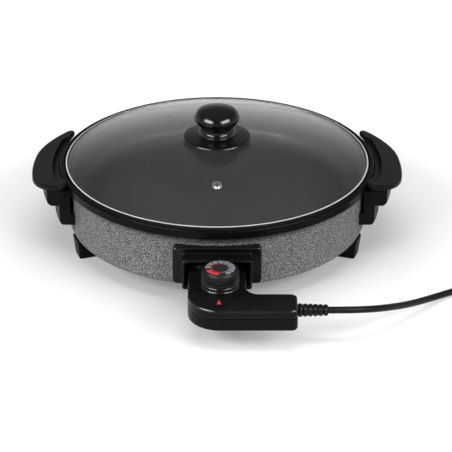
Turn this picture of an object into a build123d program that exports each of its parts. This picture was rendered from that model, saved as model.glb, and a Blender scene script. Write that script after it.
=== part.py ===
from build123d import *
import os
from math import cos, hypot, pi, radians, sin, sqrt, tan

os.makedirs("parts", exist_ok=True)

# Round electric casserole with a loose glass lid and a thermostat that plugs in at the front.
# Millimetres. Z is the pan's axis, the table is z = 0 and the thermostat is at the front, towards -Y.

# Clearances
loose = 0.3            # between pieces that move past each other
snug = 0.1             # between pieces of one assembly
hole_play = 0.4        # a screw hole over its screw, on the diameter

# Body
foot_height = 23.0     # table to the underside of the shell
body_height = 73.0     # underside of the shell to the top of the lip
shell_radius = 171.0   # outside of the shell at its top
shell_draft = 0.5      # how much smaller the shell is at the bottom
shell_wall = 1.0
shell_corner = 5.0
shell_flange = 22.0    # width of the turned-in bottom edge
air_gap = 3.5          # between shell and pan at the top
pan_wall = 2.5
pan_floor = 4.0
pan_depth = 46.0       # top of the lip to the cooking surface
pan_corner = 18.0
rim_overhang = 9.0     # lip beyond the shell
lip_width = 4.7
lip_round = 2.0
ledge_depth = 5.0      # top of the lip to the lid's seat
ledge_thickness = 2.4
skirt_height = 10.0
skirt_wall = 2.8
plate_thickness = 1.0  # base plate and reflector
reflector_inset = 33.0
reflector_height = 6.5

# Heating element and its connector
element_diameter = 7.0
element_radius = 105.0
lead_spacing = 40.0
lead_bend = 20.0
clip_wall = 1.2
clip_width = 10.0
clip_tab = 6.0
pin_diameter = 5.0
earth_diameter = 4.0
earth_x = 10.0
bead_diameter = 9.0
bead_neck = 7.0
bracket_thickness = 1.5
probe_diameter = 6.2
probe_drop = 1.6       # probe axis below the pins
probe_reach = 70.0     # probe beyond the connector bracket
socket_wall = 0.6
stud_diameter = 6.0

# Connector guard
guard_flange_width = 96.0
guard_flange_height = 44.0
guard_flange_drop = 12.4   # its lower edge below the pins
guard_flange_depth = 4.5   # in front of the shell
guard_width = 75.0
guard_height = 35.0
guard_drop = 10.6
guard_depth = 21.0
guard_wall = 3.0
guard_screw_spacing = 84.0

# Handles
grip_gap = 1.0         # lip to the ends of the grip
grip_width = 31.0
grip_length = 160.0
grip_thickness = 6.5
grip_slope = 17.2      # degrees, a flat plate that falls away from the pan
grip_corner = 60.0
grip_drop = 9.2        # its outer edge below the lip
grip_tip = 6.0         # rounding of its ends beside the lip
groove_width = 7.5     # groove along its inner edge
groove_depth = 4.0
groove_end = 24.0      # grip beyond each end of the groove
block_width = 12.0
block_end = 20.0       # grip beyond each end of the block
block_depth = 30.0     # below the lip
bracket_end = 22.0     # grip beyond each end of the bracket
bracket_wall = 12.0
bracket_standoff = 4.5     # slot between handle and shell
bracket_depth = 55.0       # below the lip
bracket_pad = 14.0         # height of the part that touches the shell
bracket_taper = 0.5
handle_screw_spacing = 70.0
handle_screw_diameter = 5.0
handle_screw_head = 9.0

# Feet
foot_angle = 19.0      # from the handle's axis
foot_length = 29.0
foot_width = 22.0
foot_taper = 2.5
foot_proud = 0.5       # its outer face beyond the shell
foot_screw_diameter = 4.0
foot_screw_head = 8.0
foot_screw_sink = 10.0

# Lid
lid_rise = 27.0        # lip to the top of the glass
glass_thickness = 4.0
lid_play = 2.1         # lid ring inside the lip
ring_wall = 0.6
ring_top_width = 1.9
ring_bottom_width = 6.0
vent_radius = 103.0
vent_bore = 4.6
vent_tube = 7.0
vent_flange = 10.6
gasket_thickness = 1.0
knob_base_radius = 39.0
knob_base_edge = 2.4
knob_base_disc = 4.2     # disc height beside the neck
knob_base_height = 8.0
knob_neck_radius = 19.3
knob_foot_edge = 0.8     # bevel where the knob stands on its base
knob_radius = 26.1
knob_height = 29.5
knob_neck_height = 6.5
knob_flare = 11.0        # neck to the widest part of the cap
knob_screw_diameter = 6.0
knob_washer_radius = 12.0

# Thermostat
nose_insert = 12.0     # nose inside the guard
nose_half_width = 31.0
control_depth = 81.0   # in front of the guard
control_right = 84.0
arm_depth = 37.0
head_corner = 34.0
arm_corner = 7.0
neck_corner = 14.0
control_wall = 2.2
nose_floor = 1.6
control_rise = 9.6     # its top above the pins
seam_drop = 1.1        # its seam below the pins
nose_drop = 6.6
control_drop = 15.2
seam_groove = 0.8
edge_round = 2.5
dial_x = 3.3
dial_forward = 24.5    # dial axis in front of the guard
collar_radius = 20.2
collar_height = 5.0
dial_radius = 20.5
dial_top_radius = 17.6
dial_height = 14.6
dial_barrel = 10.2     # straight part of its side
dial_face_radius = 16.2
dial_face_thickness = 0.8
shaft_diameter = 6.0
bush_wall = 2.0
bush_height = 7.8
sleeve_wall = 1.2
sleeve_length = 18.0
lens_width = 5.0
lens_length = 9.0      # the pointer lens points to the dial
lens_inset = 18.2      # its middle behind the case front
lamp_diameter = 5.0
lamp_height = 7.0
case_screw_diameter = 3.0
case_screw_head = 5.6
case_screw_xs = (-8.0, 27.0)
case_screw_inset = 10.0    # behind the case front
case_screw_edge = (8.5, 7.5)   # inside the end and the back of the arm
boss_diameter = 7.0
relief_length = 32.0
relief_radius = 7.2
relief_tip_radius = 6.0
relief_groove = 1.3
relief_ribs = 6
wire_diameter = 2.4

# Cord, coil and plug
cord_diameter = 7.4
cord_lift = 1.0        # the coil lies on its tie
cord_straight = 30.0   # level run out of the strain relief
cord_bends = ((178, -232, 32), (209, -195, 16), (241, -160, 5.6))
cord_landing = 47.0    # where the cord lies flat, before the coil
coil_x = 330.0
coil_y = -85.0
coil_radius = 48.6
coil_pitch = 8.4
coil_layer = 8.2
coil_dip = 1.3         # how far the climbing half turn draws in
coil_turns_below = 1.5
coil_turns_above = 1.25
tie_angle = -45.0
tie_width = 5.0
tie_wall = 0.6
plug_radius = 18.0
plug_body_length = 38.0
plug_relief_length = 22.0
plug_rise_length = 30.0    # cord from the coil up to the plug
plug_pin_diameter = 4.8
plug_pin_length = 19.0
plug_pin_spacing = 19.0
plug_clip_width = 5.0

# Heights worked out from the above
lip_z = foot_height + body_height
ledge_z = lip_z - ledge_depth
shell_top = ledge_z - ledge_thickness
floor_under = lip_z - pan_depth - pan_floor
pin_z = floor_under - element_diameter / 2 - snug
probe_z = pin_z - probe_drop
base_top = foot_height + shell_wall + plate_thickness

# Radii worked out from the above
rim_radius = shell_radius + rim_overhang
pan_outer = shell_radius - shell_wall - air_gap
pan_inner = pan_outer - pan_wall
reflector_radius = shell_radius - reflector_inset


def save(piece, name):
    """Label a finished piece and write it to its own file."""
    piece.part.label = name
    export_step(piece.part, f"parts/{name}.step")


def shell_at(z):
    """Outside radius of the shell at a height."""
    share = (shell_top - z) / (shell_top - foot_height)
    return shell_radius - shell_draft * share


def front(distance):
    """Y of a point that lies this far in front of the shell."""
    return -(shell_radius + distance)


def corner(sketch, x, y):
    """The sketch's corner nearest to a point."""
    return sketch.vertices().sort_by_distance(Vector(x, y, 0))[0]


def along_y(x, z, y):
    """A plane at y whose own Z axis looks towards -Y."""
    return Plane(origin=(x, y, z), x_dir=(1, 0, 0), z_dir=(0, -1, 0))


# Inner pan with its lip, ledge and skirt
lip_inner = rim_radius - lip_width
skirt_inner = rim_radius - skirt_wall
skirt_z = lip_z - skirt_height
with BuildPart() as inner_pan:
    with BuildSketch(Plane.XZ) as pan_profile:
        with BuildLine():
            Polyline(
                (0, floor_under),
                (0, floor_under + pan_floor),
                (pan_inner, floor_under + pan_floor),
                (pan_inner, ledge_z),
                (lip_inner, ledge_z),
                (lip_inner, lip_z),
                (rim_radius, lip_z),
                (rim_radius, skirt_z),
                (skirt_inner, skirt_z),
                (skirt_inner, shell_top),
                (pan_outer, shell_top),
                (pan_outer, floor_under),
                close=True,
            )
        make_face()
        fillet(corner(pan_profile, pan_inner, floor_under + pan_floor), pan_corner)
        fillet(corner(pan_profile, pan_outer, floor_under), pan_corner + pan_wall)
        fillet(corner(pan_profile, pan_inner, ledge_z), pan_wall / 2)
        fillet(corner(pan_profile, lip_inner, lip_z), lip_round / 2)
        fillet(corner(pan_profile, rim_radius, lip_z), lip_round)
        fillet(corner(pan_profile, rim_radius, skirt_z), skirt_wall / 3)
    revolve(axis=Axis.Z)
save(inner_pan, "inner_pan")

# Outer shell: a drawn wall with a turned-in bottom edge
flange_inner = shell_radius - shell_draft - shell_flange
foot_r = shell_radius - shell_draft + foot_proud - foot_length / 2
foot_spots = [(foot_r * cos(radians(a)), foot_r * sin(radians(a)))
              for a in (foot_angle, 180 - foot_angle, 180 + foot_angle, -foot_angle)]
handle_screw_z = lip_z - bracket_depth + bracket_pad / 2
handle_screw_spots = [(y, handle_screw_z) for y in (-handle_screw_spacing / 2, handle_screw_spacing / 2)]
tunnel_half = guard_width / 2 - guard_wall
tunnel_floor = pin_z - guard_drop + guard_wall
tunnel_top = pin_z - guard_drop + guard_height - guard_wall
guard_screw_z = pin_z - guard_flange_drop + guard_flange_height / 2
guard_screw_diameter = 3.5
with BuildPart() as outer_shell:
    with BuildSketch(Plane.XZ) as shell_profile:
        bottom = shell_at(foot_height)
        with BuildLine():
            Polyline(
                (shell_radius, shell_top),
                (bottom, foot_height),
                (flange_inner, foot_height),
                (flange_inner, foot_height + shell_wall),
                (bottom - shell_wall, foot_height + shell_wall),
                (shell_radius - shell_wall, shell_top),
                close=True,
            )
        make_face()
        fillet(corner(shell_profile, bottom, foot_height), shell_corner)
        inner_corner = corner(shell_profile, bottom - shell_wall, foot_height + shell_wall)
        fillet(inner_corner, shell_corner - shell_wall)
    revolve(axis=Axis.Z)
    with BuildSketch(along_y(0, 0, 0)):
        with Locations((0, (tunnel_floor + tunnel_top) / 2)):
            Rectangle(2 * tunnel_half, tunnel_top - tunnel_floor)
        with Locations((guard_screw_spacing / 2, guard_screw_z), (-guard_screw_spacing / 2, guard_screw_z)):
            Circle((guard_screw_diameter + hole_play) / 2)
    extrude(amount=2 * shell_radius, mode=Mode.SUBTRACT)
    with BuildSketch(Plane.YZ):
        with Locations(*handle_screw_spots):
            Circle((handle_screw_diameter + hole_play) / 2)
    extrude(amount=2 * shell_radius, both=True, mode=Mode.SUBTRACT)
    with BuildSketch():
        with Locations(*foot_spots):
            Circle((foot_screw_diameter + hole_play) / 2)
    extrude(amount=foot_height + 2 * shell_wall, mode=Mode.SUBTRACT)
save(outer_shell, "outer_shell")

# Base plate, lying on the shell's turned-in edge, with air holes
base_radius = shell_at(foot_height) - shell_corner - snug
with BuildPart() as base_plate:
    with BuildSketch(Plane.XY.offset(foot_height + shell_wall)):
        Circle(base_radius)
        Circle((stud_diameter + hole_play) / 2, mode=Mode.SUBTRACT)
        with PolarLocations(reflector_radius / 2, 12):
            Circle(stud_diameter / 2, mode=Mode.SUBTRACT)
        with Locations(*foot_spots):
            Circle((foot_screw_diameter + hole_play) / 2, mode=Mode.SUBTRACT)
    extrude(amount=plate_thickness)
save(base_plate, "base_plate")

# Heat reflector, a shallow tray turned down onto the base plate
with BuildPart() as heat_reflector:
    top = base_top + reflector_height
    with BuildSketch(Plane.XZ):
        with BuildLine():
            Polyline(
                (stud_diameter, top - plate_thickness),
                (stud_diameter, top),
                (reflector_radius, top),
                (reflector_radius, base_top),
                (reflector_radius - plate_thickness, base_top),
                (reflector_radius - plate_thickness, top - plate_thickness),
                close=True,
            )
        make_face()
    revolve(axis=Axis.Z)
save(heat_reflector, "heat_reflector")

# Stud that ties the pan to the base plate, with its flanged nut
nut_flange = 1.2
nut_thickness = 5.0
nut_width = 10.0
plate_under = foot_height + shell_wall
with BuildPart() as tie_stud:
    stud_bottom = plate_under - nut_flange - nut_thickness - 1
    with Locations((0, 0, stud_bottom)):
        Cylinder(
            stud_diameter / 2, floor_under - stud_bottom, align=(Align.CENTER, Align.CENTER, Align.MIN)
        )
save(tie_stud, "tie_stud")

with BuildPart() as tie_nut:
    with BuildSketch(Plane.XY.offset(plate_under - nut_flange)):
        Circle(nut_width * 0.8)
    extrude(amount=nut_flange)
    with BuildSketch(Plane.XY.offset(plate_under - nut_flange - nut_thickness)):
        RegularPolygon(nut_width / 2, 6, major_radius=False)
    extrude(amount=nut_thickness)
    with BuildSketch(Plane.XY.offset(plate_under)):
        Circle(stud_diameter / 2 + snug)
    extrude(amount=-nut_flange - nut_thickness, mode=Mode.SUBTRACT)
save(tie_nut, "tie_nut")

# Heating element: a ring whose two cold ends run forward side by side
element_end = front(-11)
bend_x = lead_spacing / 2 + lead_bend
bend_y = -sqrt((element_radius + lead_bend) ** 2 - bend_x ** 2)
meet = element_radius / (element_radius + lead_bend)
meet_x = bend_x * meet
meet_y = bend_y * meet
half_turn = Vector(meet_x - bend_x, meet_y - bend_y).normalized() + Vector(-1, 0)
bend_mid = Vector(bend_x, bend_y) + half_turn.normalized() * lead_bend
with BuildPart() as heating_element:
    with BuildLine(Plane.XY.offset(pin_z)) as element_path:
        Line((lead_spacing / 2, element_end), (lead_spacing / 2, bend_y))
        ThreePointArc((lead_spacing / 2, bend_y), (bend_mid.X, bend_mid.Y), (meet_x, meet_y))
        ThreePointArc((meet_x, meet_y), (0, element_radius), (-meet_x, meet_y))
        ThreePointArc((-meet_x, meet_y), (-bend_mid.X, bend_mid.Y), (-lead_spacing / 2, bend_y))
        Line((-lead_spacing / 2, bend_y), (-lead_spacing / 2, element_end))
    with BuildSketch(along_y(lead_spacing / 2, pin_z, element_end)):
        Circle(element_diameter / 2)
    sweep(path=element_path.wires()[0])
save(heating_element, "heating_element")

# Three clips that hold the ring against the pan
clip_inner = element_diameter + 2 * loose
clip_outer = clip_inner + 2 * clip_wall
with BuildPart() as element_clips:
    for angle in (20, 90, 160):
        spot = Vector(element_radius, 0).rotate(Axis.Z, angle)
        inward = Vector(1, 0).rotate(Axis.Z, angle)
        across = Vector(0, 1).rotate(Axis.Z, angle)
        face = Plane(origin=spot + across * (clip_width / 2), x_dir=inward, z_dir=-across)
        with BuildSketch(face):
            low = floor_under - clip_inner - clip_wall
            with BuildLine():
                Polyline(
                    (-clip_outer / 2, low),
                    (clip_outer / 2, low),
                    (clip_outer / 2, floor_under - clip_wall),
                    (clip_outer / 2 + clip_tab, floor_under - clip_wall),
                    (clip_outer / 2 + clip_tab, floor_under),
                    (clip_inner / 2, floor_under),
                    (clip_inner / 2, low + clip_wall),
                    (-clip_inner / 2, low + clip_wall),
                    (-clip_inner / 2, floor_under),
                    (-clip_outer / 2 - clip_tab, floor_under),
                    (-clip_outer / 2 - clip_tab, floor_under - clip_wall),
                    (-clip_outer / 2, floor_under - clip_wall),
                    close=True,
                )
            make_face()
        extrude(amount=clip_width)
save(element_clips, "element_clips")

# Connector bracket under the pan, with holes for the beads, the probe and the earth pin
bracket_back = element_end - (bead_diameter - bead_neck) - 2.5
bracket_face = bracket_back - bracket_thickness
earth_z = pin_z - 1.0
bracket_tab = 12.0
pin_xs = (-lead_spacing / 2, lead_spacing / 2)
with BuildPart() as connector_bracket:
    with BuildSketch(along_y(0, 0, bracket_back)):
        with Locations((0, (pin_z - bead_neck + floor_under + 2) / 2)):
            Rectangle(lead_spacing + bead_diameter + 3, floor_under + 2 - pin_z + bead_neck)
        with Locations(*[(x, pin_z) for x in pin_xs]):
            Circle(bead_neck / 2 + snug, mode=Mode.SUBTRACT)
        with Locations((0, probe_z)):
            Circle(probe_diameter / 2 + loose, mode=Mode.SUBTRACT)
        with Locations((earth_x, earth_z)):
            Circle(earth_diameter / 2 + snug, mode=Mode.SUBTRACT)
    extrude(amount=bracket_thickness)
    tab_length = pan_outer - pan_corner - pan_wall - 20
    with BuildSketch(Plane.XY.offset(floor_under - clip_wall)):
        with Locations((0, (bracket_back - tab_length) / 2)):
            Rectangle(bracket_tab, abs(bracket_back) - tab_length)
    extrude(amount=clip_wall)
save(connector_bracket, "connector_bracket")

# Ceramic beads that carry the pins through the bracket
bead_front = bracket_face - 2.5
with BuildPart() as pin_beads:
    for x in pin_xs:
        with BuildSketch(along_y(x, pin_z, element_end)):
            Circle(bead_diameter / 2)
            Circle(pin_diameter / 2 + snug, mode=Mode.SUBTRACT)
        extrude(amount=element_end - bracket_back)
        with BuildSketch(along_y(x, pin_z, bracket_back)):
            Circle(bead_neck / 2)
            Circle(pin_diameter / 2 + snug, mode=Mode.SUBTRACT)
        extrude(amount=bracket_back - bead_front)
save(pin_beads, "pin_beads")

# The two live pins and the earth pin
pin_tip = front(guard_depth - 2)
with BuildPart() as power_pins:
    for x in pin_xs:
        with BuildSketch(along_y(x, pin_z, element_end)):
            Circle(pin_diameter / 2)
        extrude(amount=element_end - pin_tip)
    chamfer(power_pins.faces().sort_by(Axis.Y)[:2].edges(), pin_diameter / 8)
save(power_pins, "power_pins")

with BuildPart() as earth_pin:
    with BuildSketch(along_y(earth_x, earth_z, bracket_back + 1.5)):
        Circle(earth_diameter * 0.75)
    extrude(amount=1.5)
    with BuildSketch(along_y(earth_x, earth_z, bracket_back)):
        Circle(earth_diameter / 2)
    extrude(amount=bracket_back - pin_tip)
    chamfer(earth_pin.faces().sort_by(Axis.Y)[0].edges(), earth_diameter / 8)
save(earth_pin, "earth_pin")

# Blind tube under the pan that takes the probe
socket_bore = probe_diameter / 2 + loose
with BuildPart() as probe_socket:
    with BuildSketch(along_y(0, probe_z, bracket_back + probe_reach)):
        Circle(socket_bore + socket_wall)
    extrude(amount=probe_reach)
    with BuildSketch(along_y(0, probe_z, bracket_back + probe_reach - socket_wall)):
        Circle(socket_bore)
    extrude(amount=probe_reach, mode=Mode.SUBTRACT)
save(probe_socket, "probe_socket")

# Connector guard: a flange that fits the shell and an open tunnel for the thermostat's nose
flange_front = front(guard_flange_depth)
tunnel_front = front(guard_depth)
flange_back = -sqrt(shell_radius ** 2 - (guard_flange_width / 2) ** 2) + 2
flange_mid = pin_z - guard_flange_drop + guard_flange_height / 2
tunnel_mid = pin_z - guard_drop + guard_height / 2
with BuildPart() as connector_guard:
    with BuildSketch(along_y(0, flange_mid, flange_back)):
        RectangleRounded(guard_flange_width, guard_flange_height, 5)
    extrude(amount=flange_back - flange_front)
    fillet(connector_guard.faces().sort_by(Axis.Y)[0].edges(), guard_flange_depth / 3)
    with BuildSketch(along_y(0, tunnel_mid, flange_back)):
        RectangleRounded(guard_width, guard_height, guard_wall)
    extrude(amount=flange_back - tunnel_front)
    with BuildSketch(along_y(0, tunnel_mid, flange_back + 1)):
        RectangleRounded(2 * tunnel_half, guard_height - 2 * guard_wall, guard_wall / 2)
    extrude(amount=flange_back + 1 - tunnel_front, mode=Mode.SUBTRACT)
    fillet(connector_guard.faces().sort_by(Axis.Y)[0].edges(), guard_wall / 4)
    with BuildSketch(Plane.XZ):
        with BuildLine():
            Polyline(
                (0, foot_height),
                (shell_at(foot_height) + snug, foot_height),
                (shell_at(lip_z) + snug, lip_z),
                (0, lip_z),
                close=True,
            )
        make_face()
    revolve(axis=Axis.Z, mode=Mode.SUBTRACT)
    guard_screw_end = flange_front + guard_flange_depth / 2
    with BuildSketch(along_y(0, guard_screw_z, 0)):
        with Locations((guard_screw_spacing / 2, 0), (-guard_screw_spacing / 2, 0)):
            Circle(guard_screw_diameter / 2 + snug)
    extrude(amount=-guard_screw_end, mode=Mode.SUBTRACT)
save(connector_guard, "connector_guard")

# Screws that hold the guard from inside the shell
guard_head = 7.0
guard_head_height = 2.5
inside_reach = shell_at(guard_screw_z) - shell_wall
screw_seat = -sqrt(inside_reach ** 2 - (guard_screw_spacing / 2 + guard_head / 2) ** 2)
with BuildPart() as guard_screws:
    for x in (-guard_screw_spacing / 2, guard_screw_spacing / 2):
        with BuildSketch(along_y(x, guard_screw_z, screw_seat + guard_head_height)):
            Circle(guard_head / 2)
        extrude(amount=guard_head_height)
        with BuildSketch(along_y(x, guard_screw_z, screw_seat)):
            Circle(guard_screw_diameter / 2)
        extrude(amount=screw_seat - guard_screw_end - 1)
save(guard_screws, "guard_screws")

# Handles: a flat sloping grip, a block below it and a bracket down the shell
grip_inner = rim_radius + grip_gap
grip_outer = grip_inner + grip_width
groove_outer = grip_inner + groove_width
groove_length = grip_length - 2 * groove_end


def grip_at(x):
    """Height of the top of the grip at a distance from the pan's axis."""
    return lip_z - grip_drop + tan(radians(grip_slope)) * (grip_outer - x)


with BuildPart() as grip:
    with BuildSketch(Plane.XY) as grip_plan:
        Circle(grip_outer)
        Rectangle(2 * grip_outer, grip_length, mode=Mode.INTERSECT)
        tip_x = sqrt(grip_outer ** 2 - (grip_length / 2) ** 2)
        fillet([corner(grip_plan, tip_x, s * grip_length / 2) for s in (-1, 1)], grip_corner)
        Circle(grip_inner, mode=Mode.SUBTRACT)
        with Locations((-grip_outer, 0)):
            Rectangle(2 * grip_outer, 2 * grip_outer, mode=Mode.SUBTRACT)
        fillet(grip_plan.vertices().filter_by(lambda v: abs(hypot(v.X, v.Y) - grip_inner) < 0.01), grip_tip)
    extrude(amount=grip_at(0))
    with BuildSketch(Plane.XZ):
        with BuildLine():
            Polyline(
                (0, grip_at(0) - grip_thickness),
                (0, grip_at(0)),
                (2 * grip_outer, grip_at(2 * grip_outer)),
                (2 * grip_outer, grip_at(2 * grip_outer) - grip_thickness),
                close=True,
            )
        make_face()
    extrude(amount=grip_length, both=True, mode=Mode.INTERSECT)
    grip_rims = grip.edges().filter_by(lambda e: abs((e % 0.5).Z) < 0.95)
    fillet(grip_rims, grip_thickness / 3)
    with BuildPart(mode=Mode.PRIVATE) as groove:
        with BuildSketch(Plane.XY) as groove_plan:
            Circle(groove_outer)
            Rectangle(2 * grip_outer, groove_length, mode=Mode.INTERSECT)
            groove_tip = sqrt(groove_outer ** 2 - (groove_length / 2) ** 2)
            fillet([corner(groove_plan, groove_tip, s * groove_length / 2) for s in (-1, 1)], groove_width / 2)
        extrude(amount=grip_at(0))
        with BuildSketch(Plane.XZ):
            with BuildLine():
                Polyline(
                    (0, grip_at(0) - groove_depth),
                    (0, 2 * grip_at(0)),
                    (2 * grip_outer, 2 * grip_at(0)),
                    (2 * grip_outer, grip_at(2 * grip_outer) - groove_depth),
                    close=True,
                )
            make_face()
        extrude(amount=grip_length, both=True, mode=Mode.INTERSECT)
    add(groove.part, mode=Mode.SUBTRACT)

bracket_inner = shell_radius + bracket_standoff
block_inner = bracket_inner + bracket_wall / 2
block_back = groove_outer + 0.5
block_outer = groove_outer + block_width
bracket_top = skirt_z - 2
bracket_low = lip_z - bracket_depth
pad_top = bracket_low + bracket_pad
with BuildPart() as block:
    with BuildSketch(Plane.XZ) as block_profile:
        block_low = lip_z - block_depth
        with BuildLine():
            Polyline(
                (block_inner, block_low),
                (block_inner, bracket_top),
                (block_back, bracket_top),
                (block_back, grip_at(0)),
                (block_outer, grip_at(0)),
                (block_outer, block_low),
                close=True,
            )
        make_face()
        fillet(corner(block_profile, block_outer, block_low), block_width / 2)
    revolve(axis=Axis.Z)
    with BuildSketch(Plane.XZ):
        grip_half = grip_thickness / 2
        with BuildLine():
            Polyline(
                (0, 0),
                (0, grip_at(0) - grip_half),
                (grip_outer, grip_at(grip_outer) - grip_half),
                (grip_outer, 0),
                close=True,
            )
        make_face()
    extrude(amount=grip_length / 2 - block_end, both=True, mode=Mode.INTERSECT)

with BuildPart() as handle_right:
    with BuildSketch(Plane.XZ) as bracket_profile:
        low_outer = bracket_inner + bracket_wall - bracket_taper
        with BuildLine():
            Polyline(
                (bracket_inner, bracket_top),
                (bracket_inner + bracket_wall, bracket_top),
                (low_outer, bracket_low),
                (shell_at(bracket_low) + snug, bracket_low),
                (shell_at(pad_top) + snug, pad_top),
                (bracket_inner, pad_top),
                close=True,
            )
        make_face()
        fillet(corner(bracket_profile, low_outer, bracket_low), bracket_pad / 3)
    revolve(axis=Axis.Z)
    with Locations((grip_outer / 2, 0, lip_z / 2)):
        Box(grip_outer, grip_length - 2 * bracket_end, lip_z, mode=Mode.INTERSECT)
    add(block.part)
    add(grip.part)
    screw_face = sqrt((bracket_inner + bracket_wall) ** 2 - (handle_screw_spacing / 2) ** 2)
    screw_seat_x = screw_face - bracket_wall / 2
    with BuildSketch(Plane.YZ):
        with Locations(*handle_screw_spots):
            Circle((handle_screw_diameter + hole_play) / 2)
    extrude(amount=grip_outer, mode=Mode.SUBTRACT)
    with BuildSketch(Plane.YZ.offset(screw_seat_x)):
        with Locations(*handle_screw_spots):
            Circle(handle_screw_head / 2 + hole_play)
    extrude(amount=bracket_wall, mode=Mode.SUBTRACT)
save(handle_right, "handle_right")

with BuildPart() as handle_left:
    add(mirror(handle_right.part, about=Plane.YZ, mode=Mode.PRIVATE))
save(handle_left, "handle_left")

# Handle screws and the nuts inside the shell
nut_seat = sqrt((shell_at(handle_screw_z) - shell_wall) ** 2 - (handle_screw_spacing / 2 + 5) ** 2) - snug
handle_nut_thickness = 4.0
handle_nut_width = 8.0
handle_head_height = 3.2
with BuildPart() as handle_screws:
    for y in (-handle_screw_spacing / 2, handle_screw_spacing / 2):
        with BuildSketch(Plane.YZ.offset(screw_seat_x)):
            with Locations((y, handle_screw_z)):
                Circle(handle_screw_head / 2)
        extrude(amount=handle_head_height)
        with BuildSketch(Plane.YZ.offset(nut_seat - handle_nut_thickness - 1)):
            with Locations((y, handle_screw_z)):
                Circle(handle_screw_diameter / 2)
        extrude(amount=screw_seat_x - nut_seat + handle_nut_thickness + 1)
    mirror(about=Plane.YZ)
save(handle_screws, "handle_screws")

with BuildPart() as handle_nuts:
    for y in (-handle_screw_spacing / 2, handle_screw_spacing / 2):
        with BuildSketch(Plane.YZ.offset(nut_seat - handle_nut_thickness)):
            with Locations((y, handle_screw_z)):
                RegularPolygon(handle_nut_width / 2, 6, major_radius=False)
                Circle(handle_screw_diameter / 2 + snug, mode=Mode.SUBTRACT)
        extrude(amount=handle_nut_thickness)
    mirror(about=Plane.YZ)
save(handle_nuts, "handle_nuts")

# Feet, tapering to the table, each with its screw and nut
foot_names = ("foot_back_right", "foot_back_left", "foot_front_left", "foot_front_right")
for (x, y), name in zip(foot_spots, foot_names):
    outward = Vector(x, y).normalized()
    with BuildPart() as foot:
        with BuildSketch(Plane(origin=(x, y, 0), x_dir=outward, z_dir=(0, 0, 1))):
            with Locations((-foot_taper / 2, 0)):
                RectangleRounded(foot_length - foot_taper, foot_width - foot_taper, foot_taper)
        with BuildSketch(Plane(origin=(x, y, foot_height), x_dir=outward, z_dir=(0, 0, 1))):
            RectangleRounded(foot_length, foot_width, foot_taper)
        loft()
        fillet(foot.faces().sort_by(Axis.Z)[0].edges(), foot_taper / 3)
        with Locations((x, y, 0)):
            Cylinder(
                (foot_screw_diameter + hole_play) / 2, foot_height,
                align=(Align.CENTER, Align.CENTER, Align.MIN), mode=Mode.SUBTRACT,
            )
            Cylinder(
                foot_screw_head / 2 + hole_play, foot_screw_sink,
                align=(Align.CENTER, Align.CENTER, Align.MIN), mode=Mode.SUBTRACT,
            )
    save(foot, name)

foot_nut_thickness = 3.2
foot_nut_width = 7.0
foot_head_height = 3.0
with BuildPart() as foot_screws:
    with BuildSketch(Plane.XY.offset(foot_screw_sink - foot_head_height)):
        with Locations(*foot_spots):
            Circle(foot_screw_head / 2)
    extrude(amount=foot_head_height)
    with BuildSketch(Plane.XY.offset(foot_screw_sink)):
        with Locations(*foot_spots):
            Circle(foot_screw_diameter / 2)
    extrude(amount=base_top + foot_nut_thickness + 1 - foot_screw_sink)
save(foot_screws, "foot_screws")

with BuildPart() as foot_nuts:
    with BuildSketch(Plane.XY.offset(base_top)):
        with Locations(*foot_spots):
            RegularPolygon(foot_nut_width / 2, 6, major_radius=False)
            Circle(foot_screw_diameter / 2 + snug, mode=Mode.SUBTRACT)
    extrude(amount=foot_nut_thickness)
save(foot_nuts, "foot_nuts")

# Lid glass: a shallow dome in a steel ring that drops inside the lip
apex_z = lip_z + lid_rise
ring_radius = lip_inner - lid_play
glass_edge = ring_radius - ring_wall - snug
edge_low = ledge_z + loose + 2 * ring_wall
dome_drop = apex_z - glass_thickness - edge_low
dome_under = (glass_edge ** 2 + dome_drop ** 2) / (2 * dome_drop)
dome_over = dome_under + glass_thickness
dome_centre = apex_z - dome_over
knob_hole = knob_screw_diameter / 2 + hole_play


def over(r):
    """Height of the top of the glass at a radius."""
    return dome_centre + sqrt(dome_over ** 2 - r ** 2)


def under(r):
    """Height of the underside of the glass at a radius."""
    return dome_centre + sqrt(dome_under ** 2 - r ** 2)


vent_tilt = vent_radius / dome_over
vent_plane = Plane(
    origin=(0, -vent_radius, over(vent_radius)),
    x_dir=(1, 0, 0),
    z_dir=(0, -vent_tilt, sqrt(1 - vent_tilt ** 2)),
)
with BuildPart() as lid_glass:
    with BuildSketch(Plane.XZ):
        with BuildLine():
            ThreePointArc(
                (knob_hole, over(knob_hole)),
                (glass_edge / 2, over(glass_edge / 2)),
                (glass_edge, over(glass_edge)),
            )
            Line((glass_edge, over(glass_edge)), (glass_edge, under(glass_edge)))
            ThreePointArc(
                (glass_edge, under(glass_edge)),
                (glass_edge / 2, under(glass_edge / 2)),
                (knob_hole, under(knob_hole)),
            )
            Line((knob_hole, under(knob_hole)), (knob_hole, over(knob_hole)))
        make_face()
    revolve(axis=Axis.Z)
    with Locations(vent_plane):
        Cylinder(vent_tube / 2 + snug, 4 * glass_thickness, mode=Mode.SUBTRACT)
save(lid_glass, "lid_glass")

with BuildPart() as lid_ring:
    top_in = ring_radius - ring_top_width
    low_in = ring_radius - ring_bottom_width
    hem = glass_edge + snug / 2
    with BuildSketch(Plane.XZ):
        with BuildLine():
            Polyline(
                (top_in, over(top_in) + snug / 2),
                (hem, over(hem) + snug / 2),
                (hem, under(hem) - snug / 2),
                (low_in, under(low_in) - snug / 2),
                (low_in, under(low_in) - snug / 2 - ring_wall),
                (ring_radius, under(ring_radius) - snug / 2 - ring_wall),
                (ring_radius, over(ring_radius) + snug / 2 + ring_wall),
                (top_in, over(top_in) + snug / 2 + ring_wall),
                close=True,
            )
        make_face()
    revolve(axis=Axis.Z)
save(lid_ring, "lid_ring")

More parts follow.
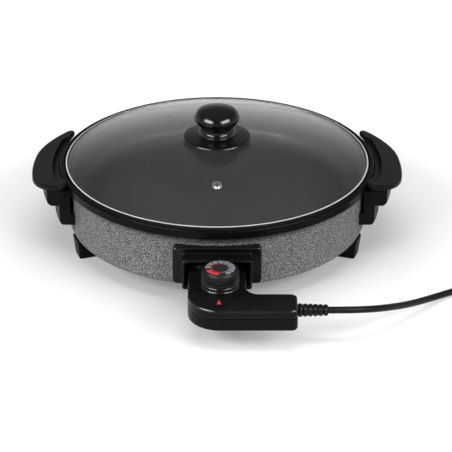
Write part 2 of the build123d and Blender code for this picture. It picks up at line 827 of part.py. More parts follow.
# Steam vent eyelet in the glass
eyelet_flange = 0.7
with BuildPart() as vent_eyelet:
    with BuildSketch(vent_plane):
        Circle(vent_flange / 2)
    extrude(amount=eyelet_flange)
    fillet(vent_eyelet.edges().sort_by(Axis.Z)[-1], eyelet_flange / 2)
    with BuildSketch(vent_plane):
        Circle(vent_tube / 2)
    extrude(amount=-glass_thickness - snug)
    with BuildSketch(vent_plane.offset(-glass_thickness - snug)):
        Circle(vent_flange / 2)
    extrude(amount=-eyelet_flange)
    with BuildSketch(vent_plane.offset(eyelet_flange)):
        Circle(vent_bore / 2)
    extrude(amount=-glass_thickness - 3 * eyelet_flange, mode=Mode.SUBTRACT)
save(vent_eyelet, "vent_eyelet")

# Knob base, gasket, knob, screw and washer
base_z = apex_z + gasket_thickness
neck_z = base_z + knob_base_height
with BuildPart() as knob_gasket:
    with BuildSketch(Plane.XY.offset(apex_z)):
        Circle(knob_neck_radius)
        Circle(knob_hole, mode=Mode.SUBTRACT)
    extrude(amount=gasket_thickness)
save(knob_gasket, "knob_gasket")

with BuildPart() as knob_base:
    with BuildSketch(Plane.XZ) as base_profile:
        with BuildLine():
            Polyline(
                (knob_hole, base_z),
                (knob_base_radius, base_z),
                (knob_base_radius, base_z + knob_base_edge),
                (knob_neck_radius, base_z + knob_base_disc),
                (knob_neck_radius, neck_z),
                (knob_hole, neck_z),
                close=True,
            )
        make_face()
        fillet(corner(base_profile, knob_base_radius, base_z + knob_base_edge), knob_base_edge / 2)
        fillet(corner(base_profile, knob_neck_radius, base_z + knob_base_disc), knob_base_edge / 2)
    revolve(axis=Axis.Z)
save(knob_base, "knob_base")

knob_bore_depth = knob_height * 0.5
neck_top = neck_z + knob_neck_height
cap_z = neck_top + knob_flare
crown_z = neck_z + knob_height
with BuildPart() as lid_knob:
    with BuildSketch(Plane.XZ):
        with BuildLine():
            Polyline(
                (0, neck_z),
                (knob_neck_radius - knob_foot_edge, neck_z),
                (knob_neck_radius, neck_z + knob_foot_edge),
                (knob_neck_radius, neck_top),
            )
            Spline((knob_neck_radius, neck_top), (knob_radius, cap_z), tangents=((1, 0.8), (0, 1)))
            shoulder = (knob_radius * sqrt(0.5), cap_z + (crown_z - cap_z) * sqrt(0.5))
            Spline((knob_radius, cap_z), shoulder, (0, crown_z), tangents=((0, 1), (-1, 0)))
            Line((0, crown_z), (0, neck_z))
        make_face()
    revolve(axis=Axis.Z)
    with BuildSketch(Plane.XY.offset(neck_z)):
        Circle(knob_screw_diameter / 2 + snug)
    extrude(amount=knob_bore_depth, mode=Mode.SUBTRACT)
save(lid_knob, "lid_knob")

washer_top = under(knob_washer_radius) - snug / 2
with BuildPart() as knob_washer:
    with BuildSketch(Plane.XY.offset(washer_top - gasket_thickness)):
        Circle(knob_washer_radius)
        Circle(knob_hole, mode=Mode.SUBTRACT)
    extrude(amount=gasket_thickness)
save(knob_washer, "knob_washer")

screw_head_height = 3.0
with BuildPart() as knob_screw:
    head_top = washer_top - gasket_thickness
    with BuildSketch(Plane.XY.offset(head_top - screw_head_height)):
        Circle(knob_screw_diameter)
    extrude(amount=screw_head_height)
    fillet(knob_screw.edges().sort_by(Axis.Z)[0], screw_head_height / 2)
    with BuildSketch(Plane.XY.offset(head_top)):
        Circle(knob_screw_diameter / 2)
    extrude(amount=neck_z + knob_bore_depth - 1 - head_top)
save(knob_screw, "knob_screw")

# Thermostat case: an upper and a lower half that meet at a seam
nose_back = tunnel_front + nose_insert
case_back = tunnel_front - 1.5
case_front = tunnel_front - control_depth
arm_back = case_front + arm_depth
case_top = pin_z + control_rise
seam_z = pin_z - seam_drop
nose_low = pin_z - nose_drop
case_low = pin_z - control_drop
roof = case_top - control_wall
floor_z = case_low + control_wall
dial_y = tunnel_front - dial_forward
cord_y = (arm_back + case_front) / 2
cord_z = pin_z
lens_y = case_front + lens_inset
lens_x = dial_x - 1.3
case_screw_spots = [(x, case_front + case_screw_inset) for x in case_screw_xs]
case_screw_spots += [(control_right - case_screw_edge[0], arm_back - case_screw_edge[1])]
nose_cut = 2 * (nose_back - case_back)

with BuildSketch() as case_plan:
    with BuildLine():
        Polyline(
            (-nose_half_width, nose_back),
            (-nose_half_width, case_front),
            (control_right, case_front),
            (control_right, arm_back),
            (nose_half_width, arm_back),
            (nose_half_width, nose_back),
            close=True,
        )
    make_face()
    fillet(corner(case_plan, -nose_half_width, case_front), head_corner)
    fillet([corner(case_plan, control_right, y) for y in (case_front, arm_back)], arm_corner)
    fillet(corner(case_plan, nose_half_width, arm_back), neck_corner)
    fillet([corner(case_plan, x, nose_back) for x in (-nose_half_width, nose_half_width)], edge_round)

with BuildSketch() as case_hollow:
    add(case_plan.sketch)
    offset(amount=-control_wall, mode=Mode.REPLACE)

with BuildSketch() as body_hollow:
    add(case_hollow.sketch)
    with Locations((0, case_back + nose_cut / 2 - control_wall)):
        Rectangle(4 * nose_half_width, nose_cut, mode=Mode.SUBTRACT)

with BuildSketch() as lens_plan:
    with BuildLine():
        Polyline(
            (lens_x - lens_width / 2, lens_y - lens_length / 2),
            (lens_x + lens_width / 2, lens_y - lens_length / 2),
            (lens_x, lens_y + lens_length / 2),
            close=True,
        )
    make_face()

with BuildSketch() as lens_window:
    offset(lens_plan.sketch, amount=snug, kind=Kind.INTERSECTION)

with BuildPart() as case_holes:
    for x in pin_xs:
        with BuildSketch(along_y(x, pin_z, nose_back + 1)):
            Circle(pin_diameter / 2 + 2 * loose)
        extrude(amount=control_wall + 2)
    with BuildSketch(along_y(earth_x, earth_z, nose_back + 1)):
        Circle(earth_diameter / 2 + 2 * loose)
    extrude(amount=control_wall + 2)
    with BuildSketch(along_y(0, probe_z, nose_back + 1)):
        Circle(probe_diameter / 2 + snug)
    extrude(amount=control_wall + 2)
    with BuildSketch(Plane.YZ.offset(control_right - control_wall - 1)):
        with Locations((cord_y, cord_z)):
            Circle(relief_tip_radius + snug)
    extrude(amount=control_wall + 2)

with BuildPart() as case_upper:
    with BuildSketch(Plane.XY.offset(seam_z)):
        add(case_plan.sketch)
    extrude(amount=case_top - seam_z)
    fillet(case_upper.faces().sort_by(Axis.Z)[-1].edges(), edge_round)
    chamfer(case_upper.faces().sort_by(Axis.Z)[0].edges(), seam_groove)
    with BuildSketch(Plane.XY.offset(seam_z)):
        add(case_hollow.sketch)
    extrude(amount=roof - seam_z, mode=Mode.SUBTRACT)
    with BuildSketch(Plane.XY.offset(case_top)):
        with Locations((dial_x, dial_y)):
            Circle(collar_radius)
    extrude(amount=collar_height)
    fillet(case_upper.edges().sort_by(Axis.Z)[-1], collar_height / 5)
    with BuildSketch(Plane.XY.offset(seam_z)):
        with Locations(*case_screw_spots):
            Circle(boss_diameter / 2)
    extrude(amount=roof - seam_z)
    with BuildSketch(Plane.XY.offset(seam_z)):
        with Locations(*case_screw_spots):
            Circle(case_screw_diameter / 2 + snug / 2)
    extrude(amount=roof - seam_z, mode=Mode.SUBTRACT)
    with BuildSketch(Plane.XY.offset(roof)):
        with Locations((dial_x, dial_y)):
            Circle(shaft_diameter / 2 + loose)
        add(lens_window.sketch)
    extrude(amount=control_wall + collar_height, mode=Mode.SUBTRACT)
    add(case_holes.part, mode=Mode.SUBTRACT)
save(case_upper, "case_upper")

rib_y = nose_back - control_wall - 8
rib_depth = 3.0
lamp_foot = roof - 2.5 - lamp_height
grip_x = control_right - 17
grip_bar = 6.0
grip_span = 22.0
grip_screw_reach = grip_span / 2 - 3
grip_screw_spots = [(grip_x, cord_y + grip_screw_reach), (grip_x, cord_y - grip_screw_reach)]
with BuildPart() as case_lower:
    with BuildSketch(Plane.XY.offset(nose_low)):
        add(case_plan.sketch)
    extrude(amount=seam_z - nose_low)
    with BuildSketch(Plane.XY.offset(case_low)):
        add(case_plan.sketch)
        with Locations((0, case_back + nose_cut / 2)):
            Rectangle(4 * nose_half_width, nose_cut, mode=Mode.SUBTRACT)
    extrude(amount=nose_low - case_low)
    fillet(case_lower.faces().sort_by(Axis.Z)[0].edges(), edge_round)
    with BuildSketch(Plane.XY.offset(nose_low + nose_floor)):
        add(case_hollow.sketch)
    extrude(amount=seam_z - nose_low - nose_floor, mode=Mode.SUBTRACT)
    with BuildSketch(Plane.XY.offset(floor_z)):
        add(body_hollow.sketch)
    extrude(amount=seam_z - floor_z, mode=Mode.SUBTRACT)
    with BuildSketch(Plane.XY.offset(nose_low)):
        with Locations((0, rib_y - rib_depth / 2)):
            Rectangle(2 * nose_half_width - control_wall, rib_depth)
    extrude(amount=seam_z - nose_low)
    for x in pin_xs:
        with BuildSketch(along_y(x, pin_z, nose_back - control_wall)):
            Circle(pin_diameter / 2 + loose + sleeve_wall + snug)
        extrude(amount=sleeve_length, mode=Mode.SUBTRACT)
    with BuildSketch(along_y(earth_x, earth_z, nose_back - control_wall)):
        Circle(earth_diameter / 2 + loose + sleeve_wall + snug)
    extrude(amount=sleeve_length, mode=Mode.SUBTRACT)
    with BuildSketch(along_y(0, probe_z, nose_back - control_wall)):
        Circle(probe_diameter / 2 + snug)
    extrude(amount=sleeve_length, mode=Mode.SUBTRACT)
    with BuildSketch(Plane.XY.offset(case_low)):
        with Locations(*case_screw_spots):
            Circle(boss_diameter / 2 + 1)
    extrude(amount=seam_z - case_low)
    with BuildSketch(Plane.XY.offset(case_low)):
        with Locations(*case_screw_spots):
            Circle((case_screw_diameter + hole_play) / 2)
    extrude(amount=seam_z - case_low, mode=Mode.SUBTRACT)
    with BuildSketch(Plane.XY.offset(case_low)):
        with Locations(*case_screw_spots):
            Circle(case_screw_head / 2 + hole_play)
    extrude(amount=2 * control_wall, mode=Mode.SUBTRACT)
    with BuildSketch(Plane.XY.offset(case_low + control_wall / 2)):
        with Locations((lens_x, lens_y)):
            Circle(lamp_diameter / 2)
    extrude(amount=lamp_foot - case_low - control_wall / 2)
    with BuildSketch(Plane.XY.offset(case_low + control_wall / 2)):
        with Locations((grip_x, cord_y)):
            Rectangle(grip_bar, grip_span)
    extrude(amount=cord_z - cord_diameter / 2 - snug - case_low - control_wall / 2)
    with BuildSketch(Plane.XY.offset(case_low + control_wall / 2)):
        with Locations(*grip_screw_spots):
            Circle(grip_bar / 2)
    extrude(amount=cord_z + cord_diameter / 2 - case_low - control_wall / 2)
    with BuildSketch(Plane.XY.offset(floor_z)):
        with Locations(*grip_screw_spots):
            Circle(case_screw_diameter / 2 + snug / 2)
    extrude(amount=cord_z + cord_diameter / 2 - floor_z, mode=Mode.SUBTRACT)
    add(case_holes.part, mode=Mode.SUBTRACT)
save(case_lower, "case_lower")

# Case screws, from below
case_head_height = 2.0
with BuildPart() as case_screws:
    head_z = case_low + 2 * control_wall - case_head_height
    with BuildSketch(Plane.XY.offset(head_z)):
        with Locations(*case_screw_spots):
            Circle(case_screw_head / 2)
    extrude(amount=case_head_height)
    with BuildSketch(Plane.XY.offset(head_z + case_head_height)):
        with Locations(*case_screw_spots):
            Circle(case_screw_diameter / 2)
    extrude(amount=roof - 1 - head_z - case_head_height)
save(case_screws, "case_screws")

# Red pointer lens and the pilot lamp under it
lens_flange = 1.2
with BuildPart() as pointer_lens:
    with BuildSketch(Plane.XY.offset(roof)):
        add(lens_plan.sketch)
    extrude(amount=control_wall + snug)
    with BuildSketch(Plane.XY.offset(roof - lens_flange)):
        offset(lens_plan.sketch, amount=lens_flange, kind=Kind.INTERSECTION)
    extrude(amount=lens_flange)
save(pointer_lens, "pointer_lens")

with BuildPart() as pilot_lamp:
    with BuildSketch(Plane.XY.offset(lamp_foot)):
        with Locations((lens_x, lens_y)):
            Circle(lamp_diameter / 2)
    extrude(amount=lamp_height)
    fillet(pilot_lamp.edges().sort_by(Axis.Z)[-1], lamp_diameter / 3)
save(pilot_lamp, "pilot_lamp")

# Contacts: two live sleeves, an earth sleeve and the strip from the thermostat's block
sleeve_start = nose_back - control_wall - snug
sleeve_end = sleeve_start - sleeve_length
with BuildPart() as power_sleeves:
    for x in pin_xs:
        with BuildSketch(along_y(x, pin_z, sleeve_start)):
            Circle(pin_diameter / 2 + loose + sleeve_wall)
            Circle(pin_diameter / 2 + loose, mode=Mode.SUBTRACT)
        extrude(amount=sleeve_length)
save(power_sleeves, "power_sleeves")

with BuildPart() as earth_sleeve:
    with BuildSketch(along_y(earth_x, earth_z, sleeve_start)):
        Circle(earth_diameter / 2 + loose + sleeve_wall)
        Circle(earth_diameter / 2 + loose, mode=Mode.SUBTRACT)
    extrude(amount=sleeve_length)
save(earth_sleeve, "earth_sleeve")

block_size = (18.0, 10.0)
block_left = earth_x - earth_diameter / 2 - loose - sleeve_wall - 1 - block_size[0]
block_right = block_left + block_size[0]
block_front = sleeve_end - block_size[1]
stack_top = pin_z + 4
with BuildPart() as contact_block:
    with BuildSketch(Plane.XY.offset(floor_z)):
        with Locations(((block_left + block_right) / 2, sleeve_end - block_size[1] / 2)):
            Rectangle(*block_size)
    extrude(amount=stack_top - floor_z)
save(contact_block, "contact_block")

with BuildPart() as live_strip:
    strip_end = lead_spacing / 2 + pin_diameter / 2
    with BuildSketch(along_y(0, 0, sleeve_end)):
        with Locations(((block_right + strip_end) / 2, pin_z + 3)):
            Rectangle(strip_end - block_right, 2)
    extrude(amount=1.2)
save(live_strip, "live_strip")

blade_width = 5.0
blade_thickness = 0.8
blade_length = block_front - dial_y + blade_width
shaft_low = pin_z - 5
with BuildPart() as bimetal_blade:
    with BuildSketch(Plane.XY.offset(shaft_low - loose - blade_thickness)):
        with Locations((dial_x, block_front - blade_length / 2)):
            Rectangle(blade_width, blade_length)
    extrude(amount=blade_thickness)
save(bimetal_blade, "bimetal_blade")

with BuildPart() as contact_blade:
    with BuildSketch(Plane.XY.offset(floor_z + blade_thickness)):
        with Locations((dial_x, block_front - blade_length / 2)):
            Rectangle(blade_width, blade_length)
    extrude(amount=blade_thickness)
    with Locations((dial_x, block_front - blade_length + blade_width / 2, floor_z + 2 * blade_thickness)):
        Cylinder(1.5, 1, align=(Align.CENTER, Align.CENTER, Align.MIN))
save(contact_blade, "contact_blade")

with BuildPart() as sensor_probe:
    probe_tip = bracket_back + probe_reach - socket_wall - 1
    with BuildSketch(along_y(0, probe_z, probe_tip)):
        Circle(probe_diameter / 2)
    extrude(amount=probe_tip - sleeve_end)
    fillet(sensor_probe.faces().sort_by(Axis.Y)[-1].edges(), probe_diameter / 4)
save(sensor_probe, "sensor_probe")

with BuildPart() as shaft_bush:
    with BuildSketch(Plane.XY.offset(roof - bush_height)):
        with Locations((dial_x, dial_y)):
            Circle(shaft_diameter / 2 + loose + bush_wall)
            Circle(shaft_diameter / 2 + snug, mode=Mode.SUBTRACT)
    extrude(amount=bush_height)
save(shaft_bush, "shaft_bush")

# Cord grip bar with its screws, and the end of the cord that it holds
grip_bar_height = 2.6
grip_z = cord_z + cord_diameter / 2
tail_end = grip_x - grip_bar - 2
with BuildPart() as cord_grip:
    with BuildSketch(Plane.XY.offset(grip_z)):
        with Locations((grip_x, cord_y)):
            Rectangle(grip_bar, grip_span)
        with Locations(*grip_screw_spots):
            Circle((case_screw_diameter + hole_play) / 2, mode=Mode.SUBTRACT)
    extrude(amount=grip_bar_height)
save(cord_grip, "cord_grip")

with BuildPart() as cord_grip_screws:
    with BuildSketch(Plane.XY.offset(floor_z + 1)):
        with Locations(*grip_screw_spots):
            Circle(case_screw_diameter / 2)
    extrude(amount=grip_z + grip_bar_height - floor_z - 1)
    with BuildSketch(Plane.XY.offset(grip_z + grip_bar_height)):
        with Locations(*grip_screw_spots):
            Circle(case_screw_head / 2 - 0.2)
    extrude(amount=0.7)
save(cord_grip_screws, "cord_grip_screws")

relief_axis = Axis((0, cord_y, cord_z), (1, 0, 0))
relief_plane = Plane(origin=(0, cord_y, cord_z), x_dir=(1, 0, 0), z_dir=(0, -1, 0))
relief_flange = 2.0
relief_start = control_right - control_wall - snug
relief_end = control_right + relief_length
rib_pitch = relief_length / (relief_ribs + 0.6)
with BuildPart() as strain_relief:
    outline = [(relief_start - relief_flange, 0), (relief_start - relief_flange, relief_radius)]
    outline += [(relief_start, relief_radius), (relief_start, relief_tip_radius)]
    outline += [(control_right + snug, relief_tip_radius)]
    for rib in range(relief_ribs):
        rib_start = control_right + snug + rib * rib_pitch
        rib_radius = relief_radius + (relief_tip_radius - relief_radius) * rib / (relief_ribs - 1)
        outline += [(rib_start, rib_radius), (rib_start + 0.6 * rib_pitch, rib_radius)]
        outline += [(rib_start + 0.6 * rib_pitch, rib_radius - relief_groove)]
        outline += [(rib_start + rib_pitch, rib_radius - relief_groove)]
    outline += [(relief_end, relief_tip_radius - relief_groove), (relief_end, 0)]
    with BuildSketch(relief_plane):
        with BuildLine():
            Polyline(*outline, close=True)
        make_face()
    revolve(axis=relief_axis)
save(strain_relief, "strain_relief")

with BuildPart() as cord_tail:
    with BuildSketch(Plane.YZ.offset(tail_end)):
        with Locations((cord_y, cord_z)):
            Circle(cord_diameter / 2)
    extrude(amount=relief_start - relief_flange - tail_end)
save(cord_tail, "cord_tail")

# Three wires inside the case: live to the block, neutral to a sleeve, earth to the earth sleeve
wire_bend = 3.0
wire_turn = tail_end - 5
wire_mid = (cord_y + dial_y) / 2
wire_live = (
    (tail_end, cord_y + 2, cord_z + 1),
    (wire_turn, cord_y + 2, cord_z + 1),
    (26, cord_y + 3, cord_z + 2),
    (22, wire_mid, cord_z + 5),
    (-8, dial_y - 10, cord_z + 1.5),
    (-8, block_front, cord_z + 1.5),
)
wire_neutral = (
    (tail_end, cord_y - 2, cord_z + 1),
    (wire_turn, cord_y - 2, cord_z + 1),
    (21, cord_y - 2, cord_z - 3),
    (14, (lens_y + dial_y) / 2, floor_z + 4),
    (-14, (lens_y + dial_y) / 2 + 1, floor_z + 4),
    (-lead_spacing / 2, dial_y - 12, pin_z),
    (-lead_spacing / 2, sleeve_end, pin_z),
)
wire_earth = (
    (tail_end, cord_y, cord_z - 2),
    (wire_turn, cord_y, cord_z - 2),
    (27, cord_y + 3, cord_z - 4),
    (25, wire_mid + 3, floor_z + 3),
    (14, dial_y - 9, earth_z - 3),
    (earth_x, dial_y + 4, earth_z),
    (earth_x, sleeve_end, earth_z),
)
with BuildPart() as inner_wires:
    for route in (wire_live, wire_neutral, wire_earth):
        with BuildLine() as wire_path:
            FilletPolyline(*route, radius=wire_bend)
        with BuildSketch(Plane(origin=route[0], z_dir=(-1, 0, 0))):
            Circle(wire_diameter / 2)
        sweep(path=wire_path.wires()[0])
save(inner_wires, "inner_wires")

# Dial with its shaft and printed face
dial_low = case_top + collar_height + loose
dial_top = dial_low + dial_height
face_recess = dial_face_thickness + 0.2
with BuildPart() as dial_knob:
    with BuildSketch(Plane(origin=(dial_x, dial_y, 0), x_dir=(1, 0, 0), z_dir=(0, -1, 0))) as dial_profile:
        with BuildLine():
            Polyline(
                (0, dial_low),
                (dial_radius, dial_low),
                (dial_radius, dial_low + dial_barrel),
                (dial_top_radius, dial_top),
                (dial_face_radius + snug, dial_top),
                (dial_face_radius + snug, dial_top - face_recess),
                (0, dial_top - face_recess),
                close=True,
            )
        make_face()
        fillet(corner(dial_profile, dial_radius, dial_low), 1)
        fillet(corner(dial_profile, dial_top_radius, dial_top), 0.5)
    revolve(axis=Axis((dial_x, dial_y, 0), (0, 0, 1)))
    with BuildSketch(Plane.XY.offset(dial_low)):
        with Locations((dial_x, dial_y)):
            Circle(shaft_diameter / 2 + snug / 2)
    extrude(amount=dial_height * 0.7, mode=Mode.SUBTRACT)
save(dial_knob, "dial_knob")

with BuildPart() as dial_face:
    with BuildSketch(Plane.XY.offset(dial_top - face_recess)):
        with Locations((dial_x, dial_y)):
            Circle(dial_face_radius)
    extrude(amount=dial_face_thickness)
save(dial_face, "dial_face")

with BuildPart() as dial_shaft:
    with BuildSketch(Plane.XY.offset(shaft_low)):
        with Locations((dial_x, dial_y)):
            Circle(shaft_diameter / 2)
    extrude(amount=dial_low + dial_height * 0.7 - snug - shaft_low)
save(dial_shaft, "dial_shaft")

# Cord from the strain relief down to the table and on to the coil
lay_z = cord_diameter / 2 + cord_lift
coil_front = coil_y - coil_radius
cord_route = (
    (relief_end, cord_y, cord_z),
    (relief_end + cord_straight, cord_y, cord_z),
    *cord_bends,
    (coil_x - cord_landing, coil_front, lay_z),
    (coil_x - cord_diameter, coil_front, lay_z),
)


def route_radii(route):
    """The largest arcs that a route's corners have room for."""
    points = [Vector(*p) for p in route]
    radii = []
    for before, here, after in zip(points, points[1:], points[2:]):
        turn = radians((here - before).get_angle(after - here))
        radii.append(0.45 * min((here - before).length, (after - here).length) / tan(turn / 2))
    return radii


cord_radii = route_radii(cord_route)
with BuildPart() as cord_lead:
    with BuildLine() as lead_path:
        FilletPolyline(*cord_route, radius=cord_radii)
    with BuildSketch(Plane(origin=cord_route[0], z_dir=(1, 0, 0))):
        Circle(cord_diameter / 2)
    sweep(path=lead_path.wires()[0])
save(cord_lead, "cord_lead")
lead_length = lead_path.wires()[0].length
lead_share = cord_lead.part.volume / (pi * cord_diameter ** 2 / 4 * lead_length)
print("cord arc radii", [round(r, 1) for r in cord_radii])
print("cord lead", round(lead_length, 1), "long, volume over section times length", round(lead_share, 4))

# Coil of the spare length: one tube that spirals in, climbs a layer in half a turn and spirals out again
climb_start = 2 * pi * coil_turns_below
climb_end = climb_start + pi
coil_end = climb_end + 2 * pi * coil_turns_above
waist = coil_radius - coil_pitch * coil_turns_below


def coil_point(turned):
    """The coil's centre line at an angle turned from its start at the front."""
    if turned <= climb_start:
        radius = coil_radius - coil_pitch * turned / (2 * pi)
        height = lay_z
    elif turned <= climb_end:
        share = (turned - climb_start) / pi
        radius = waist - coil_dip * sin(pi * share)
        height = lay_z + coil_layer * share * share * (3 - 2 * share)
    else:
        radius = waist + coil_pitch * (turned - climb_end) / (2 * pi)
        height = lay_z + coil_layer
    angle = turned - pi / 2
    return Vector(coil_x + radius * cos(angle), coil_y + radius * sin(angle), height)


def coil_heading(turned):
    """Direction of the coil's centre line."""
    step = 0.02
    ahead = coil_point(min(turned + step, coil_end))
    behind = coil_point(max(turned - step, 0))
    return (ahead - behind).normalized()


def arc_middle(start, heading, end):
    """Middle of the arc that leaves start along heading and ends at end."""
    chord = end - start
    unit = chord.normalized()
    side = heading - unit * heading.dot(unit)
    if side.length < 1e-6:
        return (start + end) * 0.5
    bend = radians(heading.get_angle(chord))
    return start + chord * 0.5 + side.normalized() * (chord.length / 2 * tan(bend / 2))


def biarc(start, start_heading, end, end_heading):
    """Two arcs that leave start and reach end along the given headings."""
    chord = end - start
    both = start_heading + end_heading
    spread = 2 * (1 - start_heading.dot(end_heading))
    along = chord.dot(both)
    if spread < 1e-9:
        reach = chord.dot(chord) / (4 * chord.dot(end_heading))
    else:
        reach = (-along + sqrt(along ** 2 + spread * chord.dot(chord))) / spread
    joint = (start + start_heading * reach + end - end_heading * reach) * 0.5
    first = (start, arc_middle(start, start_heading, joint), joint)
    second = (joint, arc_middle(end, -end_heading, joint), end)
    return first, second


stations = [i * pi / 2 for i in range(round(coil_end / (pi / 2)) + 1)]
spots = [coil_point(s) for s in stations]
headings = [coil_heading(s) for s in stations]
headings[0] = Vector(1, 0, 0)
headings[-1] = Vector(0, 1, 0)
plug_z = plug_radius + 2 * snug
rise_start = spots[-1] + Vector(0, cord_diameter, 0)
rise_end = Vector(rise_start.X, rise_start.Y + plug_rise_length, plug_z)
coil_finish = rise_end + Vector(0, cord_diameter, 0)
ahead = Vector(0, 1, 0)
with BuildPart() as cord_coil:
    with BuildLine() as coil_path:
        Line(spots[0] - Vector(cord_diameter, 0, 0), spots[0])
        for i in range(len(stations) - 1):
            for arc in biarc(spots[i], headings[i], spots[i + 1], headings[i + 1]):
                ThreePointArc(*arc)
        Line(spots[-1], rise_start)
        for arc in biarc(rise_start, ahead, rise_end, ahead):
            ThreePointArc(*arc)
        Line(rise_end, coil_finish)
    with BuildSketch(Plane(origin=spots[0] - Vector(cord_diameter, 0, 0), z_dir=(1, 0, 0))):
        Circle(cord_diameter / 2)
    sweep(path=coil_path.wires()[0])
save(cord_coil, "cord_coil")
coil_wire = coil_path.wires()[0]
coil_length = coil_wire.length
coil_samples = [coil_wire @ (i / 400) for i in range(401)]
apart = int(4 * cord_diameter / (coil_length / 400))
least = min(
    (coil_samples[i] - coil_samples[j]).length
    for i in range(401)
    for j in range(i + apart, 401)
)
coil_share = cord_coil.part.volume / (pi * cord_diameter ** 2 / 4 * coil_length)
print("coil", round(coil_length, 1), "long, least gap", round(least - cord_diameter, 2),
      "volume over section times length", round(coil_share, 4))
print("whole cord outside the case", round(lead_length + coil_length, 1))

# Tie round the coil's turns
tie_heading = Vector(cos(radians(tie_angle)), sin(radians(tie_angle)))
tie_in = waist - cord_diameter / 2 - loose
tie_out = coil_radius + cord_diameter / 2 + loose
tie_low = cord_lift - loose
tie_high = lay_z + coil_layer + cord_diameter / 2 + loose
tie_centre = Vector(coil_x, coil_y) + tie_heading * ((tie_in + tie_out) / 2)
with BuildPart() as cord_tie:
    across = Vector(-tie_heading.Y, tie_heading.X)
    tie_plane = Plane(
        origin=(tie_centre.X, tie_centre.Y, (tie_low + tie_high) / 2), x_dir=tie_heading, z_dir=-across
    )
    with BuildSketch(tie_plane):
        RectangleRounded(tie_out - tie_in + 2 * tie_wall, tie_high - tie_low + 2 * tie_wall, 3 + tie_wall)
        RectangleRounded(tie_out - tie_in, tie_high - tie_low, 3, mode=Mode.SUBTRACT)
    extrude(amount=tie_width / 2, both=True)
save(cord_tie, "cord_tie")

# Plug: a moulded round body with two round pins and two earth clips
plug_x = coil_finish.X
plug_start = coil_finish.Y
plug_body_start = plug_start + plug_relief_length
plug_face = plug_body_start + plug_body_length
plug_axis = Axis((plug_x, 0, plug_z), (0, 1, 0))
plug_plane = Plane(origin=(plug_x, 0, plug_z), x_dir=(0, 1, 0), z_dir=(1, 0, 0))
plug_groove = 2.0
with BuildPart() as plug_body:
    outline = [(plug_start, 0), (plug_start, cord_diameter / 2 + 1.5)]
    for rib in range(4):
        rib_start = plug_start + (rib + 0.6) * plug_relief_length / 4.6
        rib_radius = cord_diameter / 2 + 1.5 + rib * 0.5
        outline += [(rib_start, rib_radius), (rib_start, rib_radius - 1)]
        outline += [(rib_start + plug_relief_length / 12, rib_radius - 1)]
        outline += [(rib_start + plug_relief_length / 12, rib_radius + 0.5)]
    outline += [(plug_body_start, plug_radius * 0.55)]
    outline += [(plug_body_start + plug_body_length * 0.45, plug_radius)]
    outline += [(plug_face, plug_radius), (plug_face, 0)]
    with BuildSketch(plug_plane):
        with BuildLine():
            Polyline(*outline, close=True)
        make_face()
    revolve(axis=plug_axis)
    fillet(plug_body.faces().sort_by(Axis.Y)[-1].edges(), 1)
    for side in (-1, 1):
        with Locations((plug_x, plug_face, plug_z + side * (plug_radius - plug_groove / 2))):
            Box(plug_clip_width + 1, plug_body_length, plug_groove, mode=Mode.SUBTRACT)
save(plug_body, "plug_body")

with BuildPart() as plug_pins:
    for side in (-1, 1):
        plug_pin_x = plug_x + side * plug_pin_spacing / 2
        pin_plane = Plane(origin=(plug_pin_x, plug_face, plug_z), x_dir=(1, 0, 0), z_dir=(0, 1, 0))
        with BuildSketch(pin_plane):
            Circle(plug_pin_diameter / 2)
        extrude(amount=plug_pin_length)
    fillet(plug_pins.faces().sort_by(Axis.Y)[-2:].edges(), plug_pin_diameter / 4)
save(plug_pins, "plug_pins")

clip_thickness = 0.8
with BuildPart() as plug_earth_clips:
    for side in (-1, 1):
        seat = plug_radius - plug_groove + clip_thickness / 2
        with Locations((plug_x, plug_face - plug_body_length / 4, plug_z + side * seat)):
            Box(plug_clip_width, plug_body_length / 2 - 1, clip_thickness)
save(plug_earth_clips, "plug_earth_clips")
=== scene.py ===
"""Dressed model of a round electric casserole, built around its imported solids."""

import logging
import math
from dataclasses import dataclass
from enum import Enum
from typing import Callable

import bpy
from mathutils import Matrix, Vector


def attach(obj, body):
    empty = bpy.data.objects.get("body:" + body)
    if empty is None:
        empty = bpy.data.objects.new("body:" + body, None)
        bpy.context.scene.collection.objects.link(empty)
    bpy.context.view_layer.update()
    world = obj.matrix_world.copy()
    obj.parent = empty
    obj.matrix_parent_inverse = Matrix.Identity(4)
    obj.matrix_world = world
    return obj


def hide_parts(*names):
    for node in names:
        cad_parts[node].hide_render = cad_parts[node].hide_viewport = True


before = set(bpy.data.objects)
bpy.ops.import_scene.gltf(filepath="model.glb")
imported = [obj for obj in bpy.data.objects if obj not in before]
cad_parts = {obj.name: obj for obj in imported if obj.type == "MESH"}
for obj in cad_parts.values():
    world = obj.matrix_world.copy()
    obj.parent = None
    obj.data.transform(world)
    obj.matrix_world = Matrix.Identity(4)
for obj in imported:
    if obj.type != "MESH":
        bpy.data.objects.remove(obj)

log = logging.getLogger("casserole")

Colour = tuple[float, float, float]
Point = tuple[float, float, float]
Pair = tuple[float, float]
Ring = tuple[float, float]
Arcs = tuple[Pair, ...]

NOISE_RANGE: Pair = (0.3, 0.7)
EDGE_SAMPLES = 8


class Body(str, Enum):
    """The bodies that pieces ride on."""

    LID = "lid"
    CONTROLLER = "controller"
    DIAL = "dial"


class Slot(str, Enum):
    """The record's material slots for new pieces, listed by name; this script gives them to no piece."""

    GLOSS_BLACK = "gloss_black"
    CASE_BLACK = "case_black"
    CORD_BLACK = "cord_black"
    DIAL_PRINT = "dial_print"


